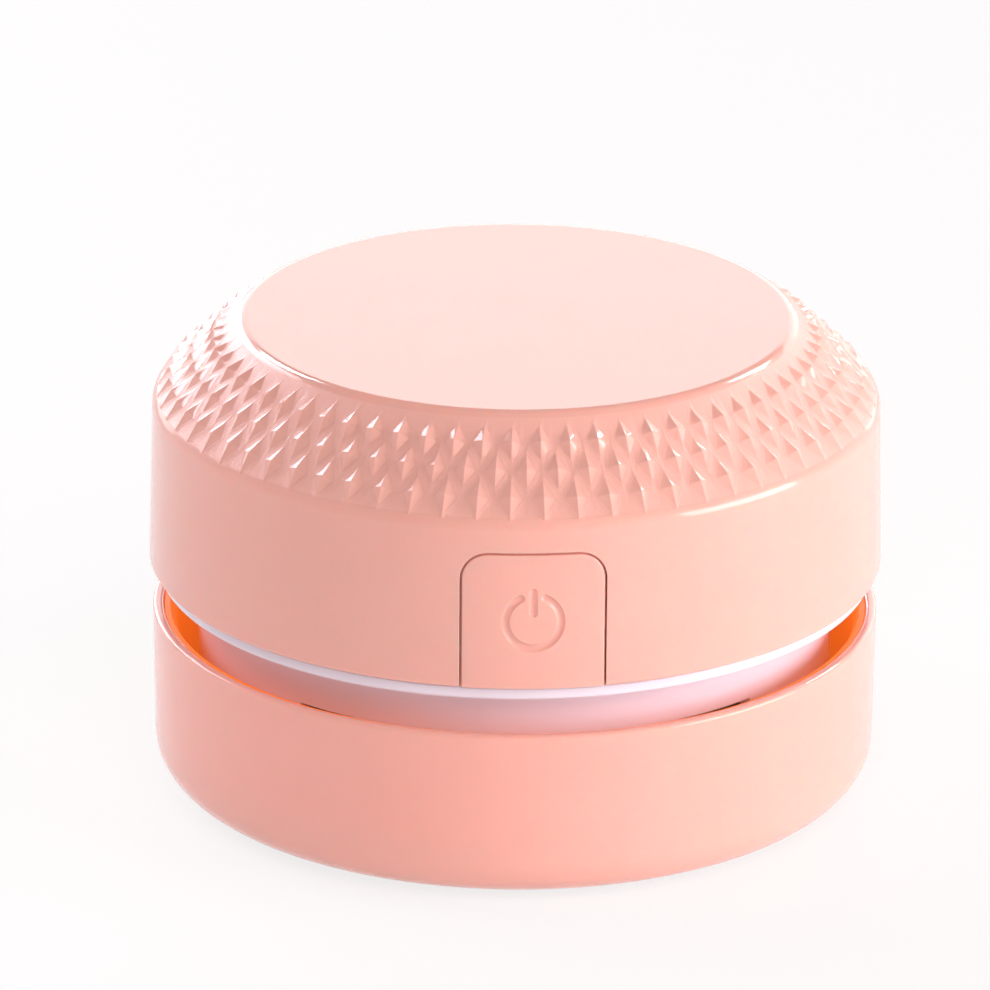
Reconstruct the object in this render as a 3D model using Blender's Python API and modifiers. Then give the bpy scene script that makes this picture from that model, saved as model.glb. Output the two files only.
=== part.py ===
"""Desktop mini vacuum cleaner: a round, rechargeable desk vacuum about 85 mm across.

The upper unit (cover, drum, motor, battery and button) stands on the dust cup. It turns about the
vertical axis to free its bayonet, and then lifts off. All lengths are in metres, +Z is up, the
origin is on the floor under the centre, and the power button faces -Y.
"""

import math

import bmesh
import bpy
from mathutils import Matrix, Vector

# Clearances
fit = 0.0003
overlap = 0.0004
overrun = 0.003
merge_distance = 0.00001

# Outer form
base_clearance = 0.0010
lower_height = 0.0204
shell_gap = 0.0059
upper_wall_height = 0.0194
chamfer_height = 0.0097
body_radius = 0.0420
upper_taper = 0.00048
lower_rim_step = 0.0001
lower_taper = 0.00025
lower_foot_round = 0.0048
chamfer_width = 0.0103
shoulder_round = 0.0020
crown_round = 0.0018
edge_round = 0.0005
shell_wall = 0.0018

# Knurled chamfer: rows of long diamond studs on the cone
knurl_count = 68
knurl_first_deg = 271.66
knurl_row_shares = (0.284, 0.528, 0.771)
knurl_width_share = 0.79
knurl_length_share = 1.8
knurl_height = 0.0007
knurl_sink = 0.0001

# Power button and its notch
notch_width = 0.0165
notch_height = 0.0161
notch_round = 0.0032
button_gap = 0.0003
button_thickness = 0.0026
button_flange_thickness = 0.0010
button_flange_width = 0.0200
button_flange_rise = 0.0022
button_flange_drop = 0.0015
button_travel = 0.0012

# Cover bosses and screws
boss_inset = 0.0022
boss_angles = (28, 152, 235, 305)
boss_radius = 0.0029
boss_hole_radius = 0.0015
boss_hole_depth = 0.0060
boss_root = 0.0004
screw_radius = 0.0012
screw_head_radius = 0.0022
screw_head_height = 0.0017
screw_slot_width = 0.0006
screw_slot_depth = 0.0007
screw_reach = 0.0045

# Charging socket in the back wall
socket_width = 0.00894
socket_height = 0.00316
socket_wall = 0.0003
socket_depth = 0.0058
socket_rise = 0.0087
socket_setback = 0.0010
tongue_width = 0.0066
tongue_height = 0.0007
tongue_setback = 0.0010
port_recess_width = 0.0120
port_recess_height = 0.0062
port_recess_depth = 0.0006

# Mid frame: flange ring, drum, deck and spigot
flange_inset = 0.0006
flange_thickness = 0.0015
drum_inset = 0.0052
drum_wall = 0.0015
drum_below_rim = 0.0129
deck_below_rim = 0.0042
deck_thickness = 0.0014
eye_radius = 0.0090
spigot_height = 0.0040
spigot_wall = 0.0011
spigot_notch_width = 0.0250
tab_radius = 0.0032
tab_thickness = 0.0013
window_angles = (30, 54, 78, 102, 126, 150, 234, 258, 282, 306)
window_width_deg = 16
window_height = 0.0018

# Bayonet between the drum and the cup's collar
lock_count = 3
lock_first_deg = 90
lock_turn_deg = 20
lug_half_deg = 7
ledge_half_deg = 8
stop_width_deg = 3
lug_height = 0.0018
ledge_height = 0.0015
ledge_reach = 0.0011

# Dust cup
lower_wall = 0.0013
base_thickness = 0.0018
inner_round = 0.0028
collar_wall = 0.0015
collar_height = 0.0102
inlet_radius = 0.0080
inlet_flare = 0.0010
chimney_wall = 0.0014
chimney_height = 0.0052
liner_wall = 0.0011
liner_seat_height = 0.0047
liner_drop = 0.0004

# Brush ring and feet under the base
brush_inset = 0.0052
brush_width = 0.0034
brush_depth = 0.0008
tuft_count = 16
tuft_steps = 6
tuft_radius = 0.0008
tuft_floor_gap = 0.0001
foot_count = 4
foot_first_deg = 45
foot_inset = 0.0150
foot_radius = 0.0035
foot_recess = 0.0008

# Filter
filter_flange_thickness = 0.0012
filter_wall = 0.0016
basket_depth = 0.0043
grille_thickness = 0.0012
grille_ledge = 0.0018
grille_bar_width = 0.0013
grille_bar_count = 4
grille_hub_radius = 0.0045
grille_ring_share = 0.56
ear_offset_deg = 60
ear_half_deg = 3.3
ear_reach = 0.0010
key_gap_deg = 0.5
key_rib_deg = 2
pleat_count = 4
pleat_height = 0.0011
cloth_thickness = 0.0005
seal_width = 0.0024

# Motor bracket
bracket_thickness = 0.0015
cup_boss_wall = 0.0012
cup_boss_height = 0.0042
post_width = 0.0020
post_depth = 0.0033
post_height = 0.0042

# Motor, shaft and impeller
motor_radius = 0.0122
motor_height = 0.0123
motor_round = 0.0008
nose_radius = 0.0030
nose_height = 0.0016
cap_radius = 0.0110
cap_height = 0.0013
terminal_width = 0.0022
terminal_thickness = 0.0005
terminal_height = 0.0020
terminal_offset = 0.0070
shaft_radius = 0.0010
shaft_in_motor = 0.0080
impeller_radius = 0.0190
impeller_lift = 0.0006
blade_height = 0.0048
blade_count = 9
blade_thickness = 0.0009
blade_root_radius = 0.0075
blade_sweep_deg = 48
back_plate_thickness = 0.0010
hub_radius = 0.0040
hub_height = 0.0072
hub_floor = 0.0008

# Battery
battery_gap = 0.0027
battery_side_gap = 0.0028
battery_end_gap = 0.0047
battery_lift = 0.0014
battery_round = 0.0008
battery_button_radius = 0.0030
battery_button_height = 0.0008
cradle_share = 0.6
cradle_thickness = 0.0020
cradle_height = 0.0060

# Boards and switch
board_thickness = 0.0012
circuit_width = 0.0300
circuit_height = 0.0140
circuit_inset = 0.0070
switch_board_width = 0.0160
switch_board_height = 0.0110
switch_size = 0.0060
switch_depth = 0.0034
switch_floor = 0.0010
plunger_radius = 0.0017
plunger_length = 0.0022

# Facets round a turned piece
cover_steps = 56
ring_steps = 36
inner_steps = 28
middle_steps = 18
small_steps = 10
arc_steps = 2
sector_step_deg = 6
wide_arc_steps = 4
wide_round = 0.0015
smooth_angle = math.radians(35)

# Levels, worked out from the sizes above
upper_shoulder_radius = body_radius
upper_bottom_radius = body_radius + upper_taper
lower_rim_radius = body_radius + lower_rim_step
lower_foot_radius = lower_rim_radius - lower_taper
top_radius = body_radius - chamfer_width
boss_ring_radius = top_radius - boss_inset
flange_radius = body_radius - flange_inset
drum_radius = body_radius - drum_inset
base_z = base_clearance
floor_z = base_z + base_thickness
rim_z = base_z + lower_height
upper_bottom_z = rim_z + shell_gap
shoulder_z = upper_bottom_z + upper_wall_height
top_z = shoulder_z + chamfer_height
flange_top_z = upper_bottom_z - fit
flange_bottom_z = flange_top_z - flange_thickness
drum_inner = drum_radius - drum_wall
drum_bottom_z = rim_z - drum_below_rim
deck_top_z = rim_z - deck_below_rim
deck_bottom_z = deck_top_z - deck_thickness
cup_inner = lower_rim_radius - lower_wall
liner_seat_z = floor_z + liner_seat_height
collar_outer_radius = drum_inner - ledge_reach - fit
collar_inner = collar_outer_radius - collar_wall
collar_top_z = floor_z + collar_height
chimney_top_z = floor_z + chimney_height
ledge_bottom_z = drum_bottom_z + lug_height + fit
ledge_top_z = ledge_bottom_z + ledge_height
ledge_radius = collar_outer_radius + ledge_reach
lug_inner = collar_outer_radius + fit
cover_inner = upper_shoulder_radius - shell_wall
spigot_outer = cover_inner - fit
spigot_inner = spigot_outer - spigot_wall
spigot_top_z = flange_top_z + spigot_height
bracket_bottom_z = flange_top_z + fit
bracket_top_z = bracket_bottom_z + bracket_thickness
bracket_radius = spigot_inner - fit
boss_bottom_z = bracket_top_z + fit
filter_flange_z = collar_top_z + fit
filter_flange_top_z = filter_flange_z + filter_flange_thickness
basket_bottom_z = filter_flange_z - basket_depth
basket_outer = collar_inner - fit
basket_inner = basket_outer - filter_wall
grille_top_z = basket_bottom_z + grille_thickness
grille_ring_radius = basket_inner * grille_ring_share
brush_radius = inlet_radius + brush_inset
foot_ring_radius = body_radius - foot_inset
motor_bottom_z = bracket_top_z + fit
motor_top_z = motor_bottom_z + motor_height
board_bottom_z = bracket_top_z + fit
blade_bottom_z = deck_top_z + impeller_lift
back_plate_z = blade_bottom_z + blade_height
circuit_offset = cover_inner - circuit_inset
motor_cup_radius = motor_radius + fit + cup_boss_wall
battery_radius = (circuit_offset - battery_gap - motor_cup_radius - battery_side_gap) / 2
battery_offset = circuit_offset - battery_gap - battery_radius
battery_length = 2 * (math.sqrt(cover_inner**2 - (battery_offset + battery_radius)**2) - battery_end_gap)
battery_z = bracket_top_z + battery_lift + battery_radius
cradle_offset = battery_length / 2 * cradle_share
socket_z = bracket_top_z + socket_rise - socket_height / 2
notch_top_z = upper_bottom_z + notch_height
button_middle_z = upper_bottom_z + notch_height / 2
button_inner = upper_shoulder_radius - button_thickness
flange_outer = cover_inner - fit
flange_inner = flange_outer - button_flange_thickness
switch_front = flange_inner - button_travel - 2 * fit
bracket_flat = math.sqrt(button_inner**2 - (notch_width / 2)**2) - button_travel - fit
switch_back = switch_front - switch_depth
switch_board_front = switch_back - fit

# The frames of outlines that are extruded outwards at the front and at the back
upright = Matrix.Identity(4)
frontwards = Matrix(((1, 0, 0, 0), (0, 0, -1, 0), (0, 1, 0, 0), (0, 0, 0, 1)))
backwards = Matrix(((-1, 0, 0, 0), (0, 0, 1, 0), (0, 1, 0, 0), (0, 0, 0, 1)))
sidewards = Matrix(((0, 0, 1, 0), (1, 0, 0, 0), (0, 1, 0, 0), (0, 0, 0, 1)))


def clear_scene():
    """Remove every object, so that the model starts from nothing."""
    for item in list(bpy.data.objects):
        bpy.data.objects.remove(item, do_unlink=True)


def new_collection(name):
    """A collection of this name in the scene."""
    group = bpy.data.collections.new(name)
    bpy.context.scene.collection.children.link(group)
    return group


def new_material(name, colour, roughness, metallic=0.0):
    """A Principled material with one colour."""
    material = bpy.data.materials.new(name)
    material.use_nodes = True
    material.diffuse_color = (*colour, 1.0)
    shader = material.node_tree.nodes["Principled BSDF"]
    shader.inputs["Base Color"].default_value = (*colour, 1.0)
    shader.inputs["Roughness"].default_value = roughness
    shader.inputs["Metallic"].default_value = metallic
    return material


def add_object(name, mesh, group):
    """An object that shows this mesh."""
    item = bpy.data.objects.new(name, mesh)
    group.objects.link(item)
    return item


def baked_mesh(item):
    """The mesh of an object as its modifiers leave it."""
    graph = bpy.context.evaluated_depsgraph_get()
    return bpy.data.meshes.new_from_object(item.evaluated_get(graph))


def bake(item):
    """Put the modified shape into the object's own mesh."""
    mesh = baked_mesh(item)
    item.modifiers.clear()
    item.data = mesh
    return item


def finish(name, item, material):
    """Name a piece, shade it smooth and give it its material."""
    bake(item)
    item.name = name
    item.data.name = name
    item.data.shade_smooth()
    item.data.set_sharp_from_angle(angle=smooth_angle)
    item.data.materials.clear()
    item.data.materials.append(material)
    return item


def rounded(corners, closed=True):
    """An outline through corners (a, b, radius), each rounded with its radius where it has one."""
    points = []
    last = len(corners) - 1
    for index, corner in enumerate(corners):
        here = Vector(corner[:2])
        radius = corner[2] if len(corner) > 2 else 0
        if radius == 0 or (not closed and index in (0, last)):
            points.append(here)
            continue
        to_before = (Vector(corners[index - 1][:2]) - here).normalized()
        to_after = (Vector(corners[(index + 1) % len(corners)][:2]) - here).normalized()
        half = to_before.angle(to_after) / 2
        reach = radius / math.tan(half)
        centre = here + (to_before + to_after).normalized() * (radius / math.sin(half))
        first = (here + to_before * reach - centre).normalized()
        second = (here + to_after * reach - centre).normalized()
        steps = wide_arc_steps if radius > wide_round else arc_steps
        for step in range(steps + 1):
            points.append(centre + first.slerp(second, step / steps) * radius)
    return points


def turned(profile, steps, closed=True):
    """A solid of revolution about Z from a profile that runs down its outer side."""
    mesh = bpy.data.meshes.new("turned")
    count = len(profile)
    edges = [(index, index + 1) for index in range(count - 1)]
    if closed:
        edges.append((count - 1, 0))
    mesh.from_pydata([(radius, 0, height) for radius, height in profile], edges, [])
    item = add_object("turned", mesh, parts)
    screw = item.modifiers.new("Screw", "SCREW")
    screw.steps = steps
    screw.render_steps = steps
    screw.use_merge_vertices = True
    screw.merge_threshold = merge_distance
    return bake(item)


def extruded(outline, low, high, frame):
    """A flat outline filled and extruded from low to high along the frame's third axis."""
    curve = bpy.data.curves.new("outline", "CURVE")
    curve.dimensions = "2D"
    curve.fill_mode = "BOTH"
    curve.extrude = (high - low) / 2
    spline = curve.splines.new("POLY")
    spline.points.add(len(outline) - 1)
    for point, place in zip(spline.points, outline):
        point.co = (place[0], place[1], 0, 1)
    spline.use_cyclic_u = True
    item = add_object("outline", curve, parts)
    item.matrix_world = frame @ Matrix.Translation((0, 0, (low + high) / 2))
    bpy.context.view_layer.update()
    mesh = baked_mesh(item)
    mesh.transform(item.matrix_world)
    bpy.data.objects.remove(item, do_unlink=True)
    shape = bmesh.new()
    shape.from_mesh(mesh)
    bmesh.ops.remove_doubles(shape, verts=shape.verts, dist=merge_distance)
    bmesh.ops.recalc_face_normals(shape, faces=shape.faces)
    shape.to_mesh(mesh)
    shape.free()
    return add_object("extruded", mesh, parts)


def block(low, high):
    """A box between two corners."""
    shape = bmesh.new()
    centre = (Vector(low) + Vector(high)) / 2
    size = Vector(high) - Vector(low)
    place = Matrix.Translation(centre) @ Matrix.Diagonal((*size, 1))
    bmesh.ops.create_cube(shape, size=1, matrix=place)
    mesh = bpy.data.meshes.new("block")
    shape.to_mesh(mesh)
    shape.free()
    return add_object("block", mesh, parts)


def rod(radius, low, high, steps, centre=(0, 0), frame=upright):
    """A cylinder from low to high along the frame's third axis."""
    shape = bmesh.new()
    place = frame @ Matrix.Translation((centre[0], centre[1], (low + high) / 2))
    bmesh.ops.create_cone(
        shape, cap_ends=True, segments=steps, radius1=radius, radius2=radius, depth=high - low, matrix=place)
    mesh = bpy.data.meshes.new("rod")
    shape.to_mesh(mesh)
    shape.free()
    return add_object("rod", mesh, parts)


def sector(inner, outer, low, high, start_deg, end_deg):
    """A piece of a ring: a rectangle swept about Z between two angles."""
    shape = bmesh.new()
    corners = ((inner, low), (outer, low), (outer, high), (inner, high))
    turn = Matrix.Rotation(math.radians(start_deg), 4, "Z")
    verts = [shape.verts.new(turn @ Vector((radius, 0, height))) for radius, height in corners]
    face = shape.faces.new(verts)
    sweep = math.radians(end_deg - start_deg)
    steps = math.ceil((end_deg - start_deg) / sector_step_deg)
    bmesh.ops.spin(
        shape, geom=[face, *face.edges, *face.verts], axis=(0, 0, 1), cent=(0, 0, 0),
        angle=sweep, steps=steps)
    bmesh.ops.remove_doubles(shape, verts=shape.verts, dist=merge_distance)
    bmesh.ops.recalc_face_normals(shape, faces=shape.faces)
    mesh = bpy.data.meshes.new("sector")
    shape.to_mesh(mesh)
    shape.free()
    return add_object("sector", mesh, parts)


def gathered(items):
    """Several solids that don't meet, as the one mesh of a single cutter or addition."""
    shape = bmesh.new()
    for item in items:
        item.data.transform(item.matrix_world)
        shape.from_mesh(item.data)
        bpy.data.objects.remove(item, do_unlink=True)
    mesh = bpy.data.meshes.new("gathered")
    shape.to_mesh(mesh)
    shape.free()
    return add_object("gathered", mesh, parts)


def round_axis(item, angles_deg):
    """Copies of a piece turned about Z to each angle, in place of the piece."""
    copies = []
    for angle in angles_deg:
        copy = add_object("copy", item.data.copy(), parts)
        copy.data.transform(Matrix.Rotation(math.radians(angle), 4, "Z"))
        copies.append(copy)
    bpy.data.objects.remove(item, do_unlink=True)
    return gathered(copies)


def evenly(count, first_deg=0):
    """Angles that share the circle evenly."""
    return [first_deg + 360 * index / count for index in range(count)]


def combine(item, tool, operation):
    """Join a tool to a piece, cut it away, or keep what they share."""
    boolean = item.modifiers.new(operation.title(), "BOOLEAN")
    boolean.operation = operation
    boolean.solver = "EXACT"
    boolean.object = tool
    bake(item)
    parts.objects.unlink(tool)
    cutters.objects.link(tool)
    tool.name = "tool_" + operation.lower()
    tool.hide_render = True
    tool.display_type = "WIRE"
    return item


def join(item, tool):
    """Add a tool's volume to a piece."""
    return combine(item, tool, "UNION")


def cut(item, tool):
    """Take a tool's volume away from a piece."""
    return combine(item, tool, "DIFFERENCE")


def keep_shared(item, tool):
    """Keep what a piece and a tool share."""
    return combine(item, tool, "INTERSECT")


def rounded_box_outline(width, low, high, radius):
    """A rectangle centred on the first axis with round corners."""
    half = width / 2
    return rounded(((-half, low, radius), (half, low, radius), (half, high, radius), (-half, high, radius)))


def upper_wall_radius(height):
    """Outer radius of the upper shell's tapered wall at a height."""
    share = (height - upper_bottom_z) / upper_wall_height
    return upper_bottom_radius + (upper_shoulder_radius - upper_bottom_radius) * share


def knurl_studs():
    """Long four-sided pyramids in staggered rows, standing on the chamfer's cone."""
    top = Vector((top_radius, top_z))
    shoulder = Vector((upper_shoulder_radius, shoulder_z))
    slope = (shoulder - top).normalized()
    outward = Vector((-slope.y, slope.x))
    grow = (knurl_height + knurl_sink) / knurl_height
    shape = bmesh.new()
    for row, share in enumerate(knurl_row_shares):
        place = top.lerp(shoulder, share) + outward * ((knurl_height - knurl_sink) / 2)
        axes = Matrix((
            (0, -slope.x, outward.x, place.x),
            (1, 0, 0, 0),
            (0, -slope.y, outward.y, place.y),
            (0, 0, 0, 1)))
        half_width = knurl_width_share * math.pi * place.x / knurl_count * grow
        size = Matrix.Diagonal((half_width, half_width * knurl_length_share, knurl_height + knurl_sink, 1))
        for angle in evenly(knurl_count, knurl_first_deg + (row % 2) * 180 / knurl_count):
            turn = Matrix.Rotation(math.radians(angle), 4, "Z")
            bmesh.ops.create_cone(
                shape, cap_ends=True, segments=4, radius1=1, radius2=0, depth=1, matrix=turn @ axes @ size)
    bmesh.ops.recalc_face_normals(shape, faces=shape.faces)
    mesh = bpy.data.meshes.new("studs")
    shape.to_mesh(mesh)
    shape.free()
    return add_object("studs", mesh, parts)


def notch_outline(margin):
    """The button's outline in X and Z, open past the shell's lower edge, shrunk by a margin."""
    half = notch_width / 2 - margin
    high = notch_top_z - margin
    low = upper_bottom_z - overrun
    corner = notch_round - margin
    return rounded(((-half, low), (half, low), (half, high, corner), (-half, high, corner)))


def make_top_cover():
    """The upper shell: flat top, knurled chamfer, tapered wall, screw bosses, notch and port."""
    steep = math.atan2(chamfer_height, upper_shoulder_radius - top_radius)
    drop = shell_wall * math.tan((math.pi / 2 - steep) / 2)
    inner_top = top_radius - shell_wall * math.tan(steep / 2)
    profile = rounded((
        (0, top_z),
        (top_radius, top_z, crown_round),
        (upper_shoulder_radius, shoulder_z, shoulder_round),
        (upper_bottom_radius, upper_bottom_z, edge_round),
        (upper_bottom_radius - shell_wall, upper_bottom_z),
        (cover_inner, shoulder_z - drop),
        (inner_top, top_z - shell_wall),
        (0, top_z - shell_wall)), closed=False)
    cover = turned(profile, cover_steps, closed=False)
    join(cover, knurl_studs())
    boss_top = top_z - shell_wall + boss_root
    boss = rod(boss_radius, boss_bottom_z, boss_top, small_steps, (boss_ring_radius, 0))
    join(cover, round_axis(boss, boss_angles))
    hole_top = boss_bottom_z + boss_hole_depth
    hole = rod(boss_hole_radius, boss_bottom_z - overrun, hole_top, small_steps, (boss_ring_radius, 0))
    cut(cover, round_axis(hole, boss_angles))
    far = upper_bottom_radius + overrun
    cut(cover, extruded(notch_outline(0), boss_ring_radius + boss_radius + overrun, far, frontwards))
    port = rounded_box_outline(
        socket_width + 2 * fit, socket_z - socket_height / 2 - fit, socket_z + socket_height / 2 + fit,
        socket_height / 2)
    cut(cover, extruded(port, cover_inner - overrun, far, backwards))
    recess = rounded_box_outline(
        port_recess_width, socket_z - port_recess_height / 2, socket_z + port_recess_height / 2,
        port_recess_height / 3)
    cut(cover, extruded(recess, upper_wall_radius(socket_z) - port_recess_depth, far, backwards))
    return finish("top_cover", cover, salmon)


def make_power_button():
    """A flush key cut from the wall's own curve, with a flange behind the wall."""
    low = upper_bottom_z
    high = notch_top_z
    key = turned((
        (upper_wall_radius(high), high),
        (upper_wall_radius(low), low),
        (button_inner, low),
        (button_inner, high)), cover_steps)
    outline = notch_outline(button_gap)
    keep_shared(key, extruded(outline, button_inner - overrun, upper_bottom_radius + overrun, frontwards))
    half = math.degrees(math.asin(button_flange_width / 2 / flange_outer))
    flange = sector(
        flange_inner, flange_outer, low + button_flange_rise, high - button_flange_drop,
        270 - half, 270 + half)
    join(key, flange)
    return finish("power_button", key, salmon)


def make_mid_frame():
    """White ring under the shell, drum, fan deck, spigot, screw tabs, lugs, key ribs and windows."""
    profile = rounded((
        (flange_radius, flange_top_z),
        (flange_radius, flange_bottom_z, edge_round),
        (drum_radius, flange_bottom_z),
        (drum_radius, drum_bottom_z, edge_round),
        (drum_inner, drum_bottom_z),
        (drum_inner, deck_bottom_z),
        (eye_radius, deck_bottom_z),
        (eye_radius, deck_top_z),
        (drum_inner, deck_top_z),
        (drum_inner, flange_top_z),
        (spigot_inner, flange_top_z),
        (spigot_inner, spigot_top_z),
        (spigot_outer, spigot_top_z),
        (spigot_outer, flange_top_z)))
    frame = turned(profile, ring_steps)
    reach = drum_inner + drum_wall / 2
    angles = evenly(lock_count, lock_first_deg)
    lugs = sector(
        lug_inner, reach, drum_bottom_z + merge_distance, drum_bottom_z + lug_height,
        lock_turn_deg - lug_half_deg, lock_turn_deg + lug_half_deg)
    join(frame, round_axis(lugs, angles))
    near = ear_half_deg + key_gap_deg
    ribs = [
        sector(lug_inner, reach, ledge_top_z + fit, deck_bottom_z + overlap, start, start + key_rib_deg)
        for start in (ear_offset_deg + near, ear_offset_deg - near - key_rib_deg)]
    join(frame, round_axis(gathered(ribs), angles))
    tab_low = flange_bottom_z + fit / 2
    tab_high = tab_low + tab_thickness
    tab = rounded((
        (boss_ring_radius - tab_radius, -tab_radius, tab_radius),
        (reach, -tab_radius),
        (reach, tab_radius),
        (boss_ring_radius - tab_radius, tab_radius, tab_radius)))
    join(frame, round_axis(extruded(tab, tab_low, tab_high, upright), boss_angles))
    hole = rod(boss_hole_radius, tab_low - overrun, tab_high + overrun, small_steps, (boss_ring_radius, 0))
    cut(frame, round_axis(hole, boss_angles))
    half = window_width_deg / 2
    window = sector(
        drum_inner - overrun / 2, drum_radius + overrun / 2, deck_top_z + overlap,
        deck_top_z + overlap + window_height, -half, half)
    cut(frame, round_axis(window, window_angles))
    half_notch = spigot_notch_width / 2
    cut(frame, block(
        (-half_notch, -spigot_outer - overrun, flange_top_z + merge_distance),
        (half_notch, -drum_inner, spigot_top_z + overrun)))
    return finish("mid_frame", frame, white)


def make_lower_housing():
    """The dust cup: bowl, inlet chimney, collar with bayonet ledges, foot recesses, brush groove."""
    groove_outer = brush_radius + brush_width / 2 + fit
    groove_inner = brush_radius - brush_width / 2 - fit
    profile = rounded((
        (lower_rim_radius, rim_z, edge_round),
        (lower_foot_radius, base_z, lower_foot_round),
        (groove_outer, base_z),
        (groove_outer, base_z + brush_depth),
        (groove_inner, base_z + brush_depth),
        (groove_inner, base_z),
        (inlet_radius + inlet_flare, base_z),
        (inlet_radius, base_z + inlet_flare),
        (inlet_radius, chimney_top_z),
        (inlet_radius + chimney_wall, chimney_top_z),
        (inlet_radius + chimney_wall, floor_z),
        (collar_inner, floor_z),
        (collar_inner, collar_top_z),
        (collar_outer_radius, collar_top_z),
        (collar_outer_radius, floor_z),
        (cup_inner - liner_wall, floor_z, inner_round),
        (cup_inner - liner_wall, liner_seat_z),
        (cup_inner, liner_seat_z),
        (cup_inner, rim_z, edge_round)))
    cup = turned(profile, ring_steps)
    angles = evenly(lock_count, lock_first_deg)
    root = collar_outer_radius - collar_wall / 2
    ledge = sector(root, ledge_radius, ledge_bottom_z, ledge_top_z, -ledge_half_deg, ledge_half_deg)
    join(cup, round_axis(ledge, angles))
    stop_end = -lug_half_deg - key_gap_deg
    stop = sector(
        root, ledge_radius, drum_bottom_z, ledge_bottom_z + ledge_height / 2,
        stop_end - stop_width_deg, stop_end)
    join(cup, round_axis(stop, angles))
    recess = rod(
        foot_radius + fit, base_z - overrun, base_z + foot_recess, small_steps, (foot_ring_radius, 0))
    cut(cup, round_axis(recess, evenly(foot_count, foot_first_deg)))
    return finish("lower_housing", cup, salmon)


def make_outlet_liner():
    """Orange sleeve on the step inside the cup's wall."""
    low = liner_seat_z + fit
    high = rim_z - liner_drop
    outer = cup_inner - fit
    liner = turned((
        (outer, high),
        (outer, low),
        (outer - liner_wall, low),
        (outer - liner_wall, high)), inner_steps)
    return finish("outlet_liner", liner, orange)


def make_brush_ring():
    """A brush: a flat ring in the base's groove with tufts that end just above the floor."""
    high = base_z + brush_depth - fit
    low = high - brush_depth
    inner = brush_radius - brush_width / 2
    outer = brush_radius + brush_width / 2
    brush = turned(((outer, high), (outer, low), (inner, low), (inner, high)), middle_steps)
    tuft = rod(tuft_radius, tuft_floor_gap, low + brush_depth / 2, tuft_steps, (brush_radius, 0))
    join(brush, round_axis(tuft, evenly(tuft_count)))
    return finish("brush_ring", brush, bristle)


def make_feet():
    """Four rubber feet in the base's recesses."""
    high = base_z + foot_recess - fit
    feet = []
    for index, angle in enumerate(evenly(foot_count, foot_first_deg)):
        profile = rounded((
            (0, high), (foot_radius, high), (foot_radius, 0, edge_round), (0, 0)), closed=False)
        foot = turned(profile, small_steps, closed=False)
        turn = Matrix.Rotation(math.radians(angle), 4, "Z")
        foot.location = turn @ Vector((foot_ring_radius, 0, 0))
        feet.append(finish("foot_" + str(index + 1), foot, rubber))
    return feet


def make_filter_frame():
    """Filter basket that hangs on the collar, with a grille floor and three key ears."""
    frame = turned((
        (collar_outer_radius, filter_flange_top_z),
        (collar_outer_radius, filter_flange_z),
        (basket_outer, filter_flange_z),
        (basket_outer, basket_bottom_z),
        (basket_inner - grille_ledge, basket_bottom_z),
        (basket_inner - grille_ledge, grille_top_z),
        (basket_inner, grille_top_z),
        (basket_inner, filter_flange_top_z)), inner_steps)
    inset = grille_thickness / 10
    low = basket_bottom_z + inset
    high = grille_top_z - inset
    half_ring = grille_bar_width / 2
    ring = turned((
        (grille_ring_radius + half_ring, high),
        (grille_ring_radius + half_ring, low),
        (grille_ring_radius - half_ring, low),
        (grille_ring_radius - half_ring, high)), middle_steps)
    hub = rod(grille_hub_radius, low + inset, high - inset, small_steps)
    reach = basket_inner - grille_ledge / 2
    bar = block((grille_hub_radius / 2, -half_ring, low + inset / 2), (reach, half_ring, high - inset / 2))
    star = join(hub, round_axis(bar, evenly(2 * grille_bar_count)))
    join(ring, star)
    join(frame, ring)
    inset = filter_flange_thickness / 10
    ear = sector(
        collar_outer_radius - ear_reach, collar_outer_radius + ear_reach, filter_flange_z + inset,
        filter_flange_top_z - inset, ear_offset_deg - ear_half_deg, ear_offset_deg + ear_half_deg)
    join(frame, round_axis(ear, evenly(lock_count, lock_first_deg)))
    return finish("filter_frame", frame, grey)


def make_filter_cloth():
    """Round filter cloth with ring pleats, lying on the grille."""
    outer = basket_inner - fit
    low = grille_top_z + fit
    under = []
    for index in range(2 * pleat_count + 1):
        share = index / (2 * pleat_count)
        under.append((outer * share, low + (index % 2) * pleat_height))
    over = [(radius, height + cloth_thickness) for radius, height in under]
    cloth = turned([*over, *reversed(under)], middle_steps, closed=False)
    return finish("filter_cloth", cloth, cloth_white)


def make_filter_seal():
    """Seal ring between the filter's flange and the fan deck."""
    outer = collar_outer_radius - fit
    low = filter_flange_top_z + fit
    high = deck_bottom_z - fit
    seal = turned((
        (outer, high), (outer, low), (outer - seal_width, low), (outer - seal_width, high)), inner_steps)
    return finish("filter_seal", seal, rubber)


def board_posts(half_span, slot_centre):
    """Two posts that stand on the bracket at plus and minus a distance along X."""
    posts = []
    for side in (-1, 1):
        middle = side * half_span
        posts.append(block(
            (middle - post_width / 2, slot_centre - post_depth / 2, bracket_top_z - overlap),
            (middle + post_width / 2, slot_centre + post_depth / 2, bracket_top_z + post_height)))
    return gathered(posts)


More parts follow.
